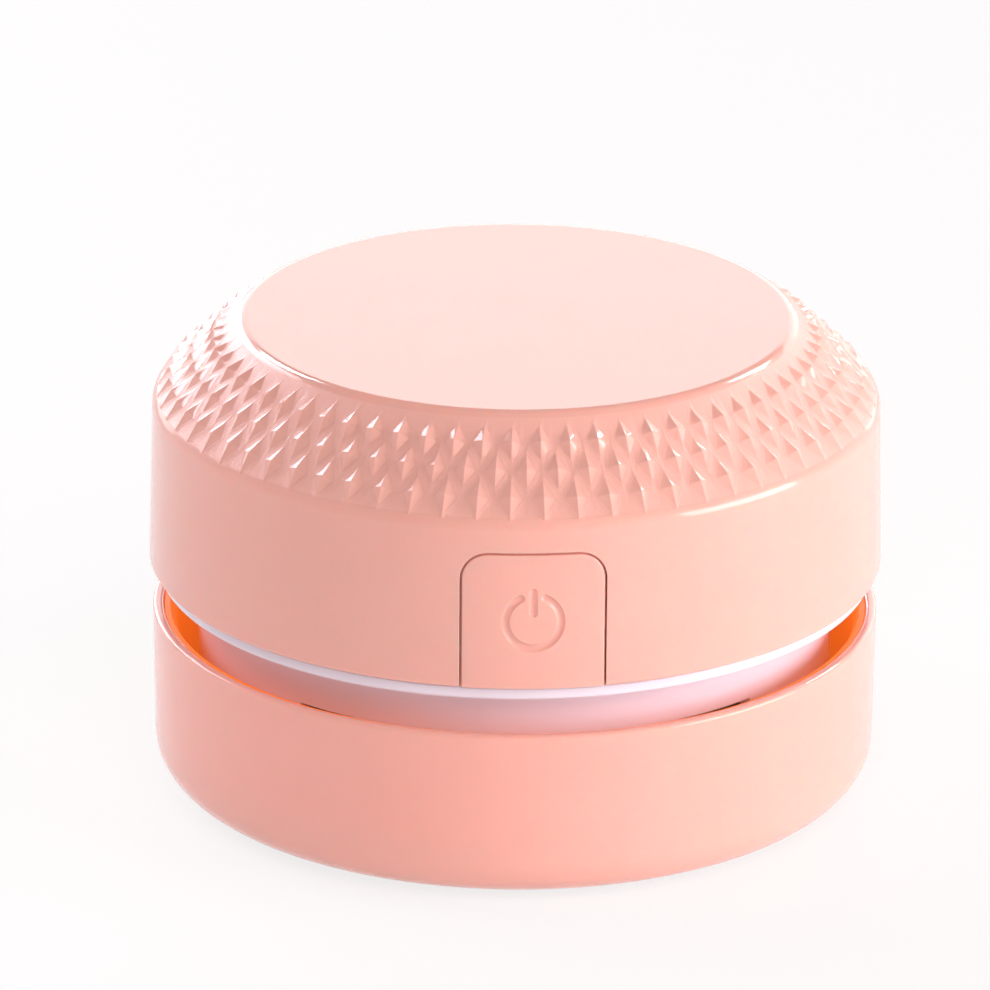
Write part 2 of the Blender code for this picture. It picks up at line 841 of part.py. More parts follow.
def make_motor_bracket():
    """Disc that closes the fan chamber and carries the motor, the battery and both boards."""
    cup_inner_radius = motor_cup_radius - cup_boss_wall
    bracket = turned((
        (bracket_radius, bracket_top_z),
        (bracket_radius, bracket_bottom_z),
        (nose_radius + fit, bracket_bottom_z),
        (nose_radius + fit, bracket_top_z),
        (cup_inner_radius, bracket_top_z),
        (cup_inner_radius, bracket_top_z + cup_boss_height),
        (motor_cup_radius, bracket_top_z + cup_boss_height),
        (motor_cup_radius, bracket_top_z)), inner_steps)
    cradles = []
    for side in (-1, 1):
        middle = side * cradle_offset
        cradles.append(block(
            (middle - cradle_thickness / 2, battery_offset - battery_radius, bracket_top_z - overlap),
            (middle + cradle_thickness / 2, battery_offset + battery_radius, bracket_top_z + cradle_height)))
    join(bracket, gathered(cradles))
    cut(bracket, rod(
        battery_radius + fit, -battery_length / 2, battery_length / 2, middle_steps,
        (battery_offset, battery_z), sidewards))
    for half_width, offset in (
            (circuit_width / 2, circuit_offset), (switch_board_width / 2, -switch_board_front)):
        centre = offset + board_thickness / 2
        join(bracket, board_posts(half_width - post_width / 2, centre))
        cut(bracket, block(
            (-half_width - fit, centre - board_thickness / 2 - fit, bracket_top_z),
            (half_width + fit, centre + board_thickness / 2 + fit, bracket_top_z + post_height + overrun)))
    hole = rod(
        boss_hole_radius, bracket_bottom_z - overrun, bracket_top_z + overrun, small_steps,
        (boss_ring_radius, 0))
    cut(bracket, round_axis(hole, boss_angles))
    half_notch = spigot_notch_width / 2
    cut(bracket, block(
        (-half_notch, -bracket_radius - overrun, bracket_bottom_z - overrun),
        (half_notch, -bracket_flat, bracket_top_z + overrun)))
    return finish("motor_bracket", bracket, grey)


def make_motor():
    """Motor can with its nose and shaft bore, and its end cap with two terminals."""
    bore_top = motor_bottom_z + shaft_in_motor
    can = turned(rounded((
        (0, motor_top_z),
        (motor_radius, motor_top_z, motor_round),
        (motor_radius, motor_bottom_z, motor_round),
        (nose_radius, motor_bottom_z),
        (nose_radius, motor_bottom_z - nose_height),
        (shaft_radius + fit, motor_bottom_z - nose_height),
        (shaft_radius + fit, bore_top),
        (0, bore_top)), closed=False), middle_steps, closed=False)
    low = motor_top_z + fit
    high = low + cap_height
    cap = turned(rounded((
        (0, high), (cap_radius, high, edge_round), (cap_radius, low), (0, low)), closed=False),
        middle_steps, closed=False)
    for side in (-1, 1):
        join(cap, block(
            (side * terminal_offset - terminal_width / 2, -terminal_thickness / 2, high - overlap),
            (side * terminal_offset + terminal_width / 2, terminal_thickness / 2, high + terminal_height)))
    return finish("motor_can", can, steel), finish("motor_end_cap", cap, black)


def blade_outline():
    """A backward-curved blade seen from above: both sides of an arc that sweeps as it runs out."""
    sides = ([], [])
    for step in range(arc_steps + 2):
        share = step / (arc_steps + 1)
        radius = blade_root_radius + (impeller_radius - blade_root_radius) * share
        angle = math.radians(blade_sweep_deg) * share
        half = math.atan2(blade_thickness / 2, radius)
        for side, sign in zip(sides, (-1, 1)):
            side.append((radius * math.cos(angle + sign * half), radius * math.sin(angle + sign * half)))
    return [*sides[0], *reversed(sides[1])]


def make_rotor():
    """Motor shaft and the centrifugal impeller on its lower end."""
    hub_bottom_z = blade_bottom_z
    bore_bottom_z = hub_bottom_z + hub_floor
    hub_top_z = hub_bottom_z + hub_height
    wheel = turned(rounded((
        (0, bore_bottom_z),
        (shaft_radius + fit, bore_bottom_z),
        (shaft_radius + fit, hub_top_z),
        (hub_radius, hub_top_z),
        (hub_radius, back_plate_z + back_plate_thickness),
        (impeller_radius, back_plate_z + back_plate_thickness),
        (impeller_radius, back_plate_z),
        (hub_radius, back_plate_z),
        (hub_radius, hub_bottom_z, edge_round),
        (0, hub_bottom_z)), closed=False), middle_steps, closed=False)
    blade = extruded(blade_outline(), blade_bottom_z, back_plate_z + back_plate_thickness / 2, upright)
    blade.data.transform(Matrix.Scale(1 - fit / impeller_radius, 4))
    join(wheel, round_axis(blade, evenly(blade_count)))
    shaft = rod(
        shaft_radius, bore_bottom_z + fit, motor_bottom_z + shaft_in_motor - fit, small_steps)
    return finish("impeller", wheel, black), finish("motor_shaft", shaft, steel)


def make_battery():
    """Lithium cell lying across behind the motor, with its positive button at +X."""
    half = battery_length / 2
    cell = turned(rounded((
        (0, half),
        (battery_button_radius, half),
        (battery_button_radius, half - battery_button_height),
        (battery_radius, half - battery_button_height, battery_round),
        (battery_radius, -half, battery_round),
        (0, -half)), closed=False), middle_steps, closed=False)
    cell.data.transform(Matrix.Rotation(math.pi / 2, 4, "Y"))
    cell.location = (0, battery_offset, battery_z)
    return finish("battery_cell", cell, blue)


def make_boards():
    """Circuit board at the back with the charging socket, and the switch board at the front."""
    circuit = block(
        (-circuit_width / 2, circuit_offset, board_bottom_z),
        (circuit_width / 2, circuit_offset + board_thickness, board_bottom_z + circuit_height))
    near = circuit_offset + board_thickness + fit
    far = upper_wall_radius(socket_z) - socket_setback
    low = socket_z - socket_height / 2
    high = socket_z + socket_height / 2
    socket = extruded(rounded_box_outline(socket_width, low, high, socket_height / 3), near, far, backwards)
    mouth = rounded_box_outline(
        socket_width - 2 * socket_wall, low + socket_wall, high - socket_wall,
        socket_height / 3 - socket_wall)
    cut(socket, extruded(mouth, far - socket_depth, far + overrun, backwards))
    join(socket, block(
        (-tongue_width / 2, far - socket_depth - overlap, socket_z - tongue_height / 2),
        (tongue_width / 2, far - tongue_setback, socket_z + tongue_height / 2)))
    board_back = -switch_board_front + board_thickness
    front_board = block(
        (-switch_board_width / 2, -switch_board_front, board_bottom_z),
        (switch_board_width / 2, board_back, board_bottom_z + switch_board_height))
    return (
        finish("circuit_board", circuit, green),
        finish("charging_socket", socket, steel),
        finish("switch_board", front_board, green))


def make_switch():
    """Push switch behind the button: a square body with a bore, and its plunger."""
    half = switch_size / 2
    body = block(
        (-half, -switch_front, button_middle_z - half), (half, -switch_back, button_middle_z + half))
    centre = (0, button_middle_z)
    cut(body, rod(
        plunger_radius + fit, switch_back + switch_floor, switch_front + overrun, small_steps,
        centre, frontwards))
    reach = flange_inner - fit
    plunger = rod(plunger_radius, reach - plunger_length, reach, small_steps, centre, frontwards)
    return finish("switch_body", body, black), finish("switch_plunger", plunger, grey)


def make_cover_screws():
    """Four pan-head screws that clamp the tabs and the bracket to the cover's bosses."""
    tab_low = flange_bottom_z + fit / 2
    head_top = tab_low - fit
    screws = []
    for index, angle in enumerate(boss_angles):
        screw = turned(rounded((
            (0, boss_bottom_z + screw_reach),
            (screw_radius, boss_bottom_z + screw_reach),
            (screw_radius, head_top),
            (screw_head_radius, head_top),
            (screw_head_radius, head_top - screw_head_height, edge_round),
            (0, head_top - screw_head_height)), closed=False), small_steps, closed=False)
        under = head_top - screw_head_height
        half = screw_slot_width / 2
        for reach_x, reach_y in ((screw_radius, half), (half, screw_radius)):
            cut(screw, block(
                (-reach_x, -reach_y, under - overrun), (reach_x, reach_y, under + screw_slot_depth)))
        turn = Matrix.Rotation(math.radians(angle), 4, "Z")
        screw.location = turn @ Vector((boss_ring_radius, 0, 0))
        screws.append(finish("cover_screw_" + str(index + 1), screw, steel))
    return screws


def add_pivot(name, height, parent=None):
    """An empty on the vertical axis that carries the pieces of one moving body."""
    pivot = bpy.data.objects.new(name, None)
    parts.objects.link(pivot)
    pivot.location = (0, 0, height)
    bpy.context.view_layer.update()
    if parent:
        pivot.parent = parent
        pivot.matrix_parent_inverse = parent.matrix_world.inverted()
    bpy.context.view_layer.update()
    return pivot


def carry(pivot, items):
    """Parent pieces to a pivot without moving them."""
    for item in items:
        item.parent = pivot
        item.matrix_parent_inverse = pivot.matrix_world.inverted()


clear_scene()
parts = new_collection("desktop_mini_vacuum")
cutters = new_collection("cutters")

salmon = new_material("gloss_salmon_abs", (0.86, 0.45, 0.35), 0.22)
white = new_material("gloss_white_abs", (0.85, 0.82, 0.84), 0.25)
orange = new_material("orange_silicone", (1.0, 0.24, 0.03), 0.45)
grey = new_material("grey_abs", (0.30, 0.30, 0.32), 0.45)
black = new_material("black_nylon", (0.03, 0.03, 0.03), 0.40)
rubber = new_material("dark_rubber", (0.05, 0.05, 0.05), 0.80)
bristle = new_material("nylon_bristle", (0.70, 0.68, 0.66), 0.60)
cloth_white = new_material("filter_cloth_white", (0.80, 0.80, 0.78), 0.90)
steel = new_material("zinc_plated_steel", (0.62, 0.62, 0.62), 0.30, 1.0)
green = new_material("circuit_board_green", (0.03, 0.22, 0.08), 0.40)
blue = new_material("cell_wrap_blue", (0.05, 0.16, 0.50), 0.35)

make_lower_housing()
make_outlet_liner()
make_brush_ring()
make_feet()

filter_pieces = [make_filter_frame(), make_filter_cloth(), make_filter_seal()]
upper_pieces = [
    make_top_cover(), make_mid_frame(), make_motor_bracket(), *make_motor(), make_battery(), *make_boards(),
    *make_cover_screws()]
switch_body, switch_plunger = make_switch()
upper_pieces.append(switch_body)
rotor_pieces = make_rotor()
button_pieces = [make_power_button(), switch_plunger]

filter_pivot = add_pivot("lock_turn_axis", filter_flange_z)
lift_pivot = add_pivot("lift_axis", flange_bottom_z, filter_pivot)
rotor_pivot = add_pivot("rotor_axis", back_plate_z, lift_pivot)
button_pivot = add_pivot("button_axis", button_middle_z, lift_pivot)
carry(filter_pivot, filter_pieces)
carry(lift_pivot, upper_pieces)
carry(rotor_pivot, rotor_pieces)
carry(button_pivot, button_pieces)
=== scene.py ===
# %% [markdown]
# # Desktop mini vacuum cleaner: the photographed look on the CAD frame
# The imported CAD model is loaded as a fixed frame. Each of its solids is then replaced by a finer
# piece of the same size and place, with a procedural material.
# Shapes are written in millimetres and turned into metres when their mesh is made.

# %% Load the frame and keep its size
import math

import bmesh
import bpy
from mathutils import Matrix, Vector


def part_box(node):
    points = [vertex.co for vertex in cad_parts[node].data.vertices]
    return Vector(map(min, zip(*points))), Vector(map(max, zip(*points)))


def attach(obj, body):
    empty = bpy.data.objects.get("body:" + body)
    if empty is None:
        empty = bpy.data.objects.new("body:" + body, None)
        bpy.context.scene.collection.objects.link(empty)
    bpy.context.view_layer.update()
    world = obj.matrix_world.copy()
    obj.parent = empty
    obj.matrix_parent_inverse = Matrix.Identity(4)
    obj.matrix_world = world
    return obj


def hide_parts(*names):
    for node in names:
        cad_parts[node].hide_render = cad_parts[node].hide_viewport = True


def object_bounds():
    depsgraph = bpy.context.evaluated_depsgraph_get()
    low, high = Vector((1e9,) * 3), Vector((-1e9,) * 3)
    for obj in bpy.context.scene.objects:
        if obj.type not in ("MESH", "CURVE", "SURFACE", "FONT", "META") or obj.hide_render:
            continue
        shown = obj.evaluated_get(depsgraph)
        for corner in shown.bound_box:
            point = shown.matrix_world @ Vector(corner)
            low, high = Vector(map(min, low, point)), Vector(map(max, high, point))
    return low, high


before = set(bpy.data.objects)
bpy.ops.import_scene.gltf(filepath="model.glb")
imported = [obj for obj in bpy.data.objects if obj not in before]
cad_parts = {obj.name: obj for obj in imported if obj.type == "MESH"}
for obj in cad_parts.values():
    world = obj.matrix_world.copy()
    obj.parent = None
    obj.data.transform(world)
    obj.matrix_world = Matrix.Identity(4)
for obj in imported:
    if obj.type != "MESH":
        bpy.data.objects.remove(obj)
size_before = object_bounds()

size_mm = [[round(v * 1000, 1) for v in corner] for corner in size_before]
print("nodes:", len(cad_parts), "box:", size_mm, "mm")

# %% [markdown]
# ## Sizes
# Each new piece has to lie where its solid was, so these repeat the CAD's own sizes. What a box
# can give is read from the frame and can't drift from the CAD. The cover's cone comes first,
# because a finish needs it too; a size that one piece needs stands in that piece's cell.

# %% Sizes in millimetres
MM = 0.001

TOP_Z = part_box("top_cover")[1][2] / MM
SHELL_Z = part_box("top_cover")[0][2] / MM
SHOULDER_Z = TOP_Z - 9.7
TOP_R = 31.7
SHOULDER_R = 42.0
SHELL_R = 42.48
STEEP = math.atan2(TOP_Z - SHOULDER_Z, SHOULDER_R - TOP_R)
print("shell from", round(SHELL_Z, 2), "to", round(TOP_Z, 2), "mm")
print("its cone falls by", round(math.degrees(STEEP), 1), "degrees")

# %% [markdown]
# ## Small tools
# Most of this product is turned: a profile run round Z by a Screw modifier gives even rings with
# closed poles. A flat outline is a filled 2D curve, whose bevel rounds the rims. Exact Booleans
# join and cut, and leave closed solids. Every finished piece ends as a plain mesh at the origin.
# Weighted normals keep the flat faces flat beside their small rounds.

# %% Meshes and objects
MERGE = 0.001 * MM


def link(name, mesh):
    """An object at the origin that shows this mesh."""
    item = bpy.data.objects.new(name, mesh)
    bpy.context.scene.collection.objects.link(item)
    return item


def plain(item):
    """The object with its modifiers worked into one plain mesh."""
    graph = bpy.context.evaluated_depsgraph_get()
    mesh = bpy.data.meshes.new_from_object(item.evaluated_get(graph))
    item.modifiers.clear()
    item.data = mesh
    return item


def from_bmesh(name, shape):
    """An object from a bmesh, with its faces turned outwards."""
    bmesh.ops.recalc_face_normals(shape, faces=shape.faces)
    mesh = bpy.data.meshes.new(name)
    shape.to_mesh(mesh)
    shape.free()
    return link(name, mesh)


def rounded(corners, steps=6, closed=True):
    """An outline through corners (a, b, radius), with an arc at each corner that has a radius."""
    points = []
    for index, corner in enumerate(corners):
        here = Vector(corner[:2])
        radius = corner[2] if len(corner) > 2 else 0
        if radius == 0 or (not closed and index in (0, len(corners) - 1)):
            points.append(here)
            continue
        before = (Vector(corners[index - 1][:2]) - here).normalized()
        after = (Vector(corners[(index + 1) % len(corners)][:2]) - here).normalized()
        half = before.angle(after) / 2
        centre = here + (before + after).normalized() * (radius / math.sin(half))
        first = (here + before * (radius / math.tan(half)) - centre).normalized()
        last = (here + after * (radius / math.tan(half)) - centre).normalized()
        points += [centre + first.slerp(last, step / steps) * radius for step in range(steps + 1)]
    return points


def turned(name, profile, steps, closed=True):
    """A solid of revolution about Z from a profile of (radius, height) in millimetres."""
    count = len(profile)
    edges = [(index, index + 1) for index in range(count - 1)] + ([(count - 1, 0)] if closed else [])
    mesh = bpy.data.meshes.new(name)
    mesh.from_pydata([(radius * MM, 0, height * MM) for radius, height in profile], edges, [])
    item = link(name, mesh)
    screw = item.modifiers.new("Screw", "SCREW")
    screw.steps = screw.render_steps = steps
    screw.use_merge_vertices = True
    screw.merge_threshold = MERGE
    plain(item)
    shape = bmesh.new()
    shape.from_mesh(item.data)
    bmesh.ops.recalc_face_normals(shape, faces=shape.faces)
    shape.to_mesh(item.data)
    shape.free()
    return item


def plate(name, outline, low, high, edge=0.0, edge_steps=3):
    """A flat outline extruded along Z from low to high, with round rims where edge is given."""
    curve = bpy.data.curves.new(name, "CURVE")
    curve.dimensions = "2D"
    curve.fill_mode = "BOTH"
    curve.extrude = ((high - low) / 2 - edge) * MM
    curve.bevel_depth = edge * MM
    curve.bevel_resolution = edge_steps
    curve.offset = -edge * MM
    spline = curve.splines.new("POLY")
    spline.points.add(len(outline) - 1)
    for point, place in zip(spline.points, outline):
        point.co = (place[0] * MM, place[1] * MM, 0, 1)
    spline.use_cyclic_u = True
    item = bpy.data.objects.new(name, curve)
    bpy.context.scene.collection.objects.link(item)
    graph = bpy.context.evaluated_depsgraph_get()
    mesh = bpy.data.meshes.new_from_object(item.evaluated_get(graph))
    bpy.data.objects.remove(item, do_unlink=True)
    mesh.transform(Matrix.Translation((0, 0, (low + high) / 2 * MM)))
    shape = bmesh.new()
    shape.from_mesh(mesh)
    bmesh.ops.remove_doubles(shape, verts=shape.verts, dist=MERGE)
    return from_bmesh(name, shape)


def box(name, low, high):
    """A box between two corners in millimetres."""
    size = Vector(high) - Vector(low)
    place = Matrix.Translation((Vector(high) + Vector(low)) / 2 * MM) @ Matrix.Diagonal((*(size * MM), 1))
    shape = bmesh.new()
    bmesh.ops.create_cube(shape, size=1, matrix=place)
    return from_bmesh(name, shape)


def rod(name, radius, low, high, steps, centre=(0, 0)):
    """An upright cylinder in millimetres."""
    place = Matrix.Translation((centre[0] * MM, centre[1] * MM, (low + high) / 2 * MM))
    shape = bmesh.new()
    bmesh.ops.create_cone(
        shape, cap_ends=True, segments=steps, radius1=radius * MM, radius2=radius * MM,
        depth=(high - low) * MM, matrix=place)
    return from_bmesh(name, shape)


def sector(name, inner, outer, low, high, start, end, steps):
    """A piece of a ring between two angles in degrees."""
    shape = bmesh.new()
    corners = ((inner, low), (outer, low), (outer, high), (inner, high))
    turn = Matrix.Rotation(math.radians(start), 4, "Z")
    face = shape.faces.new([shape.verts.new(turn @ Vector((r * MM, 0, z * MM))) for r, z in corners])
    bmesh.ops.spin(
        shape, geom=[face, *face.edges, *face.verts], axis=(0, 0, 1), cent=(0, 0, 0),
        angle=math.radians(end - start), steps=steps)
    bmesh.ops.remove_doubles(shape, verts=shape.verts, dist=MERGE)
    return from_bmesh(name, shape)


def combine(item, tool, operation):
    """Join a tool to a piece, cut it away or keep what they share, and drop the tool."""
    boolean = item.modifiers.new(operation, "BOOLEAN")
    boolean.operation = operation
    boolean.solver = "EXACT"
    boolean.object = tool
    plain(item)
    bpy.data.objects.remove(tool, do_unlink=True)
    return item


def gathered(name, items):
    """Several pieces as one mesh."""
    shape = bmesh.new()
    for item in items:
        shape.from_mesh(item.data)
        bpy.data.objects.remove(item, do_unlink=True)
    mesh = bpy.data.meshes.new(name)
    shape.to_mesh(mesh)
    shape.free()
    return link(name, mesh)


def moved(item, matrix):
    """The piece with its mesh moved, while its object stays at the origin."""
    item.data.transform(matrix)
    return item


def dressed(item, material, body, *nodes, slot, angle=30):
    """Shade and paint a finished piece, hang it on its body, and hide the nodes it stands for."""
    item.data.shade_smooth()
    item.data.set_sharp_from_angle(angle=math.radians(angle))
    weighted = item.modifiers.new("Weighted", "WEIGHTED_NORMAL")
    weighted.keep_sharp = True
    plain(item)
    item.data.materials.clear()
    item.data.materials.append(material)
    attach(item, body)
    if nodes:
        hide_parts(*nodes)
    print(item.name + ":", len(item.data.polygons), "faces, rides", body)
    return item


# %% [markdown]
# ## Materials
# Colours are written as sRGB hex codes and go through one function. Patterns run on Object
# coordinates, which here are real metres, so a scale of 1000 means one cell a millimetre. An image
# would need an unwrapped mesh; a pattern in space fits every piece that uses the material.

# %% Colour and node tools
def linear(code):
    """An sRGB hex colour as the linear colour that a shader takes."""
    parts = [int(code[place:place + 2], 16) / 255 for place in (0, 2, 4)]
    return (*[v / 12.92 if v <= 0.04045 else ((v + 0.055) / 1.055) ** 2.4 for v in parts], 1.0)


def add_node(tree, kind, settings=None, links=None):
    """A node with its settings and socket values, and links from other nodes' sockets."""
    node = tree.nodes.new(kind)
    for name, value in (settings or {}).items():
        if isinstance(name, str) and hasattr(node, name):
            setattr(node, name, value)
        else:
            node.inputs[name].default_value = value
    for name, source in (links or {}).items():
        tree.links.new(source, node.inputs[name])
    return node


def new_material(name, colour, roughness, metallic=0.0):
    """A Principled material, its tree, its shader and its place in Object coordinates."""
    material = bpy.data.materials.new(name)
    material.use_nodes = True
    tree = material.node_tree
    shader = tree.nodes["Principled BSDF"]
    shader.inputs["Base Color"].default_value = linear(colour)
    shader.inputs["Roughness"].default_value = roughness
    shader.inputs["Metallic"].default_value = metallic
    place = add_node(tree, "ShaderNodeTexCoord").outputs["Object"]
    print("material:", name)
    return material, tree, shader, place


def mottled(tree, place, per_metre, dark, light, detail=2.0):
    """A colour that wanders between two close shades."""
    noise = add_node(tree, "ShaderNodeTexNoise", {"Scale": per_metre, "Detail": detail}, {"Vector": place})
    mix = add_node(
        tree, "ShaderNodeMix", {"data_type": "RGBA", 6: linear(dark), 7: linear(light)},
        {0: noise.outputs["Fac"]})
    return mix.outputs[2]


def bumped(tree, shader, height, depth_mm, strength, before=None):
    """A bump of a real depth on the shader, on top of an earlier one."""
    bump = add_node(
        tree, "ShaderNodeBump", {"Strength": strength, "Distance": depth_mm * MM}, {"Height": height})
    if before:
        tree.links.new(before.outputs["Normal"], bump.inputs["Normal"])
    tree.links.new(bump.outputs["Normal"], shader.inputs["Normal"])
    return bump

# %% [markdown]
# ## Outer plastics
# Cover, key and cup are one pink ABS from polished moulds, the ring and drum a paler one. Light
# goes a little way into such plastic, so both the colour and a short subsurface glow matter. The
# polish shows as sharp streaks; a height above the cone tells the stud's glossy faces from the
# dull mould ground between them, which a second material could only do with a cut mesh.

# %% Salmon ABS
# Polished injection-moulded ABS: it gives the eye soft, slightly wavy reflections, and the
# spark-eroded ground between the glossy studs breaks them into a dull sparkle. The ground is what
# lies in the stud band and hardly stands out of the cone.
GLOSS, ERODED = 0.11, 0.4
salmon, tree, shader, place = new_material("polished_salmon_abs", "F3B8AC", GLOSS)
tree.links.new(mottled(tree, place, 90, "F2B6AA", "F4BAAE"), shader.inputs["Base Color"])
shader.inputs["Subsurface Radius"].default_value = (1.0, 0.35, 0.2)
shader.inputs["Subsurface Scale"].default_value = 2 * MM
split = add_node(tree, "ShaderNodeSeparateXYZ", links={"Vector": place})
above = add_node(
    tree, "ShaderNodeMapRange",
    {"From Min": (SHOULDER_Z + 0.3) * MM, "From Max": (SHOULDER_Z + 0.9) * MM},
    {"Value": split.outputs["Z"]})
below = add_node(
    tree, "ShaderNodeMapRange", {"From Min": (TOP_Z - 0.4) * MM, "From Max": (TOP_Z - 0.7) * MM},
    {"Value": split.outputs["Z"]})
band = add_node(
    tree, "ShaderNodeMath", {"operation": "MULTIPLY"},
    {0: above.outputs["Result"], 1: below.outputs["Result"]})
flat = add_node(tree, "ShaderNodeVectorMath", {"operation": "MULTIPLY", 1: (1, 1, 0)}, {0: place})
reach = add_node(tree, "ShaderNodeVectorMath", {"operation": "LENGTH"}, {0: flat.outputs["Vector"]})
outwards = add_node(
    tree, "ShaderNodeMath", {"operation": "MULTIPLY", 1: math.sin(STEEP)}, {0: reach.outputs["Value"]})
stands = add_node(
    tree, "ShaderNodeMath", {"operation": "MULTIPLY_ADD", 1: math.cos(STEEP)},
    {0: split.outputs["Z"], 2: outwards.outputs["Value"]})
cone = (TOP_R * math.sin(STEEP) + TOP_Z * math.cos(STEEP)) * MM
ground = add_node(
    tree, "ShaderNodeMapRange", {"From Min": cone + 0.08 * MM, "From Max": cone + 0.03 * MM},
    {"Value": stands.outputs["Value"]})
eroded = add_node(
    tree, "ShaderNodeMath", {"operation": "MULTIPLY"},
    {0: ground.outputs["Result"], 1: band.outputs["Value"]})
rough = add_node(
    tree, "ShaderNodeMapRange", {"To Min": GLOSS, "To Max": ERODED}, {"Value": eroded.outputs["Value"]})
tree.links.new(rough.outputs["Result"], shader.inputs["Roughness"])
depth = add_node(
    tree, "ShaderNodeMapRange", {"To Min": 0.5, "To Max": 0.04}, {"Value": band.outputs["Value"]})
tree.links.new(depth.outputs["Result"], shader.inputs["Subsurface Weight"])
peel = add_node(tree, "ShaderNodeTexNoise", {"Scale": 700.0, "Detail": 1.0}, {"Vector": place})
grain = add_node(tree, "ShaderNodeTexNoise", {"Scale": 6000.0, "Detail": 2.0}, {"Vector": place})
masked = add_node(
    tree, "ShaderNodeMath", {"operation": "MULTIPLY"},
    {0: grain.outputs["Fac"], 1: eroded.outputs["Value"]})
first = bumped(tree, shader, peel.outputs["Fac"], 0.004, 0.25)
bumped(tree, shader, masked.outputs["Value"], 0.06, 0.7, first)

# %% White ABS
# Satin moulded ABS, a touch lilac: it gives the ring a clean bright edge and picks up the pink.
white, tree, shader, place = new_material("satin_white_abs", "EFE7EF", 0.18)
# The drum turns a darker lilac grey towards its bottom: painted shade for the gap it hangs in, which also
# holds off the liner's painted orange glow.
split = add_node(tree, "ShaderNodeSeparateXYZ", links={"Vector": place})
rise = add_node(
    tree, "ShaderNodeMapRange", {"From Min": 17 * MM, "From Max": 25.6 * MM},
    {"Value": split.outputs["Z"]})
drum_painted_shade = add_node(
    tree, "ShaderNodeMix", {"data_type": "RGBA", 6: linear("DCD4E4")},
    {0: rise.outputs["Result"], 7: mottled(tree, place, 120, "E8E0EE", "EEE8F4")})
tree.links.new(drum_painted_shade.outputs[2], shader.inputs["Base Color"])
peel = add_node(tree, "ShaderNodeTexNoise", {"Scale": 1500.0, "Detail": 2.0}, {"Vector": place})
bumped(tree, shader, peel.outputs["Fac"], 0.003, 0.3)

# %% [markdown]
# ## Liner, bristles, cloth and rubber
# These are the soft parts. Each has a weak, uneven colour and almost no gloss: silicone with dust,
# nylon hairs, needled cloth and moulded rubber. Noise at the size of the real fibre or pore, with a
# bump of its real depth, is enough at this distance.

# %% Orange silicone
# Soft silicone: a smooth, slightly dusty skin. A weak emission is a painted glow, though the liner
# is no lamp: it lights the liner up inside the dark gap, where it would lie in shade.
orange, tree, shader, place = new_material("orange_silicone", "F07000", 0.45)
tree.links.new(mottled(tree, place, 200, "E06600", "E87204"), shader.inputs["Base Color"])
shader.inputs["Subsurface Weight"].default_value = 0.2
shader.inputs["Subsurface Radius"].default_value = (1.0, 0.4, 0.1)
shader.inputs["Specular IOR Level"].default_value = 0.25
shader.inputs["Emission Color"].default_value = linear("FF8028")
shader.inputs["Emission Strength"].default_value = 0.45
shader.inputs["Subsurface Scale"].default_value = 1.2 * MM
dust = add_node(tree, "ShaderNodeTexNoise", {"Scale": 2500.0, "Detail": 3.0}, {"Vector": place})
bumped(tree, shader, dust.outputs["Fac"], 0.006, 0.3)

# %% Nylon bristle
# Drawn nylon: fine hairs with a sheen along each one, in a colour that wanders a little.
nylon, tree, shader, place = new_material("nylon_bristle", "D8D2C8", 0.35)
tree.links.new(mottled(tree, place, 4000, "C4BDB2", "E4DED4"), shader.inputs["Base Color"])
shader.inputs["Subsurface Weight"].default_value = 0.1
shader.inputs["Subsurface Scale"].default_value = 0.3 * MM

# %% Filter cloth
# Needled non-woven cloth: a matt felt whose fibres give a soft, uneven, faintly grey white.
felt, tree, shader, place = new_material("non_woven_cloth", "E6E5E0", 0.9)
tree.links.new(mottled(tree, place, 1800, "D6D5CF", "F0EFEB", 5.0), shader.inputs["Base Color"])
shader.inputs["Sheen Weight"].default_value = 0.2
fibres = add_node(
    tree, "ShaderNodeTexNoise", {"Scale": 5000.0, "Detail": 4.0, "Distortion": 2.0}, {"Vector": place})
bumped(tree, shader, fibres.outputs["Fac"], 0.08, 0.6)

# %% Dark rubber
# Moulded rubber: matt, near black, with a faint bloom that lightens it in patches.
rubber, tree, shader, place = new_material("moulded_rubber", "2A2A2B", 0.75)
tree.links.new(mottled(tree, place, 600, "232324", "353536", 4.0), shader.inputs["Base Color"])
pores = add_node(tree, "ShaderNodeTexNoise", {"Scale": 4000.0, "Detail": 3.0}, {"Vector": place})
bumped(tree, shader, pores.outputs["Fac"], 0.02, 0.4)

# %% [markdown]
# ## Inner parts
# The inside shows when the cleaner is opened: eroded grey mouldings, glass-filled nylon, plated
# steel, a lacquered board and a shrink sleeve. They differ mostly in gloss, so each gets its own
# roughness and grain, and the metal is uneven in gloss instead of in colour.

# %% Grey ABS
# Spark-eroded moulding: an even fine grain that keeps every reflection dull.
grey, tree, shader, place = new_material("textured_grey_abs", "8E8E92", 0.5)
tree.links.new(mottled(tree, place, 300, "88888C", "949498"), shader.inputs["Base Color"])
grain = add_node(tree, "ShaderNodeTexNoise", {"Scale": 5000.0, "Detail": 2.0}, {"Vector": place})
bumped(tree, shader, grain.outputs["Fac"], 0.02, 0.4)

# %% Black nylon
# Glass-filled nylon: black with a low satin sheen and a slight flow mottling.
black, tree, shader, place = new_material("glass_filled_nylon", "262626", 0.42)
tree.links.new(mottled(tree, place, 900, "1F1F20", "303031", 3.0), shader.inputs["Base Color"])
flow = add_node(tree, "ShaderNodeTexNoise", {"Scale": 2500.0, "Detail": 3.0}, {"Vector": place})
bumped(tree, shader, flow.outputs["Fac"], 0.01, 0.4)

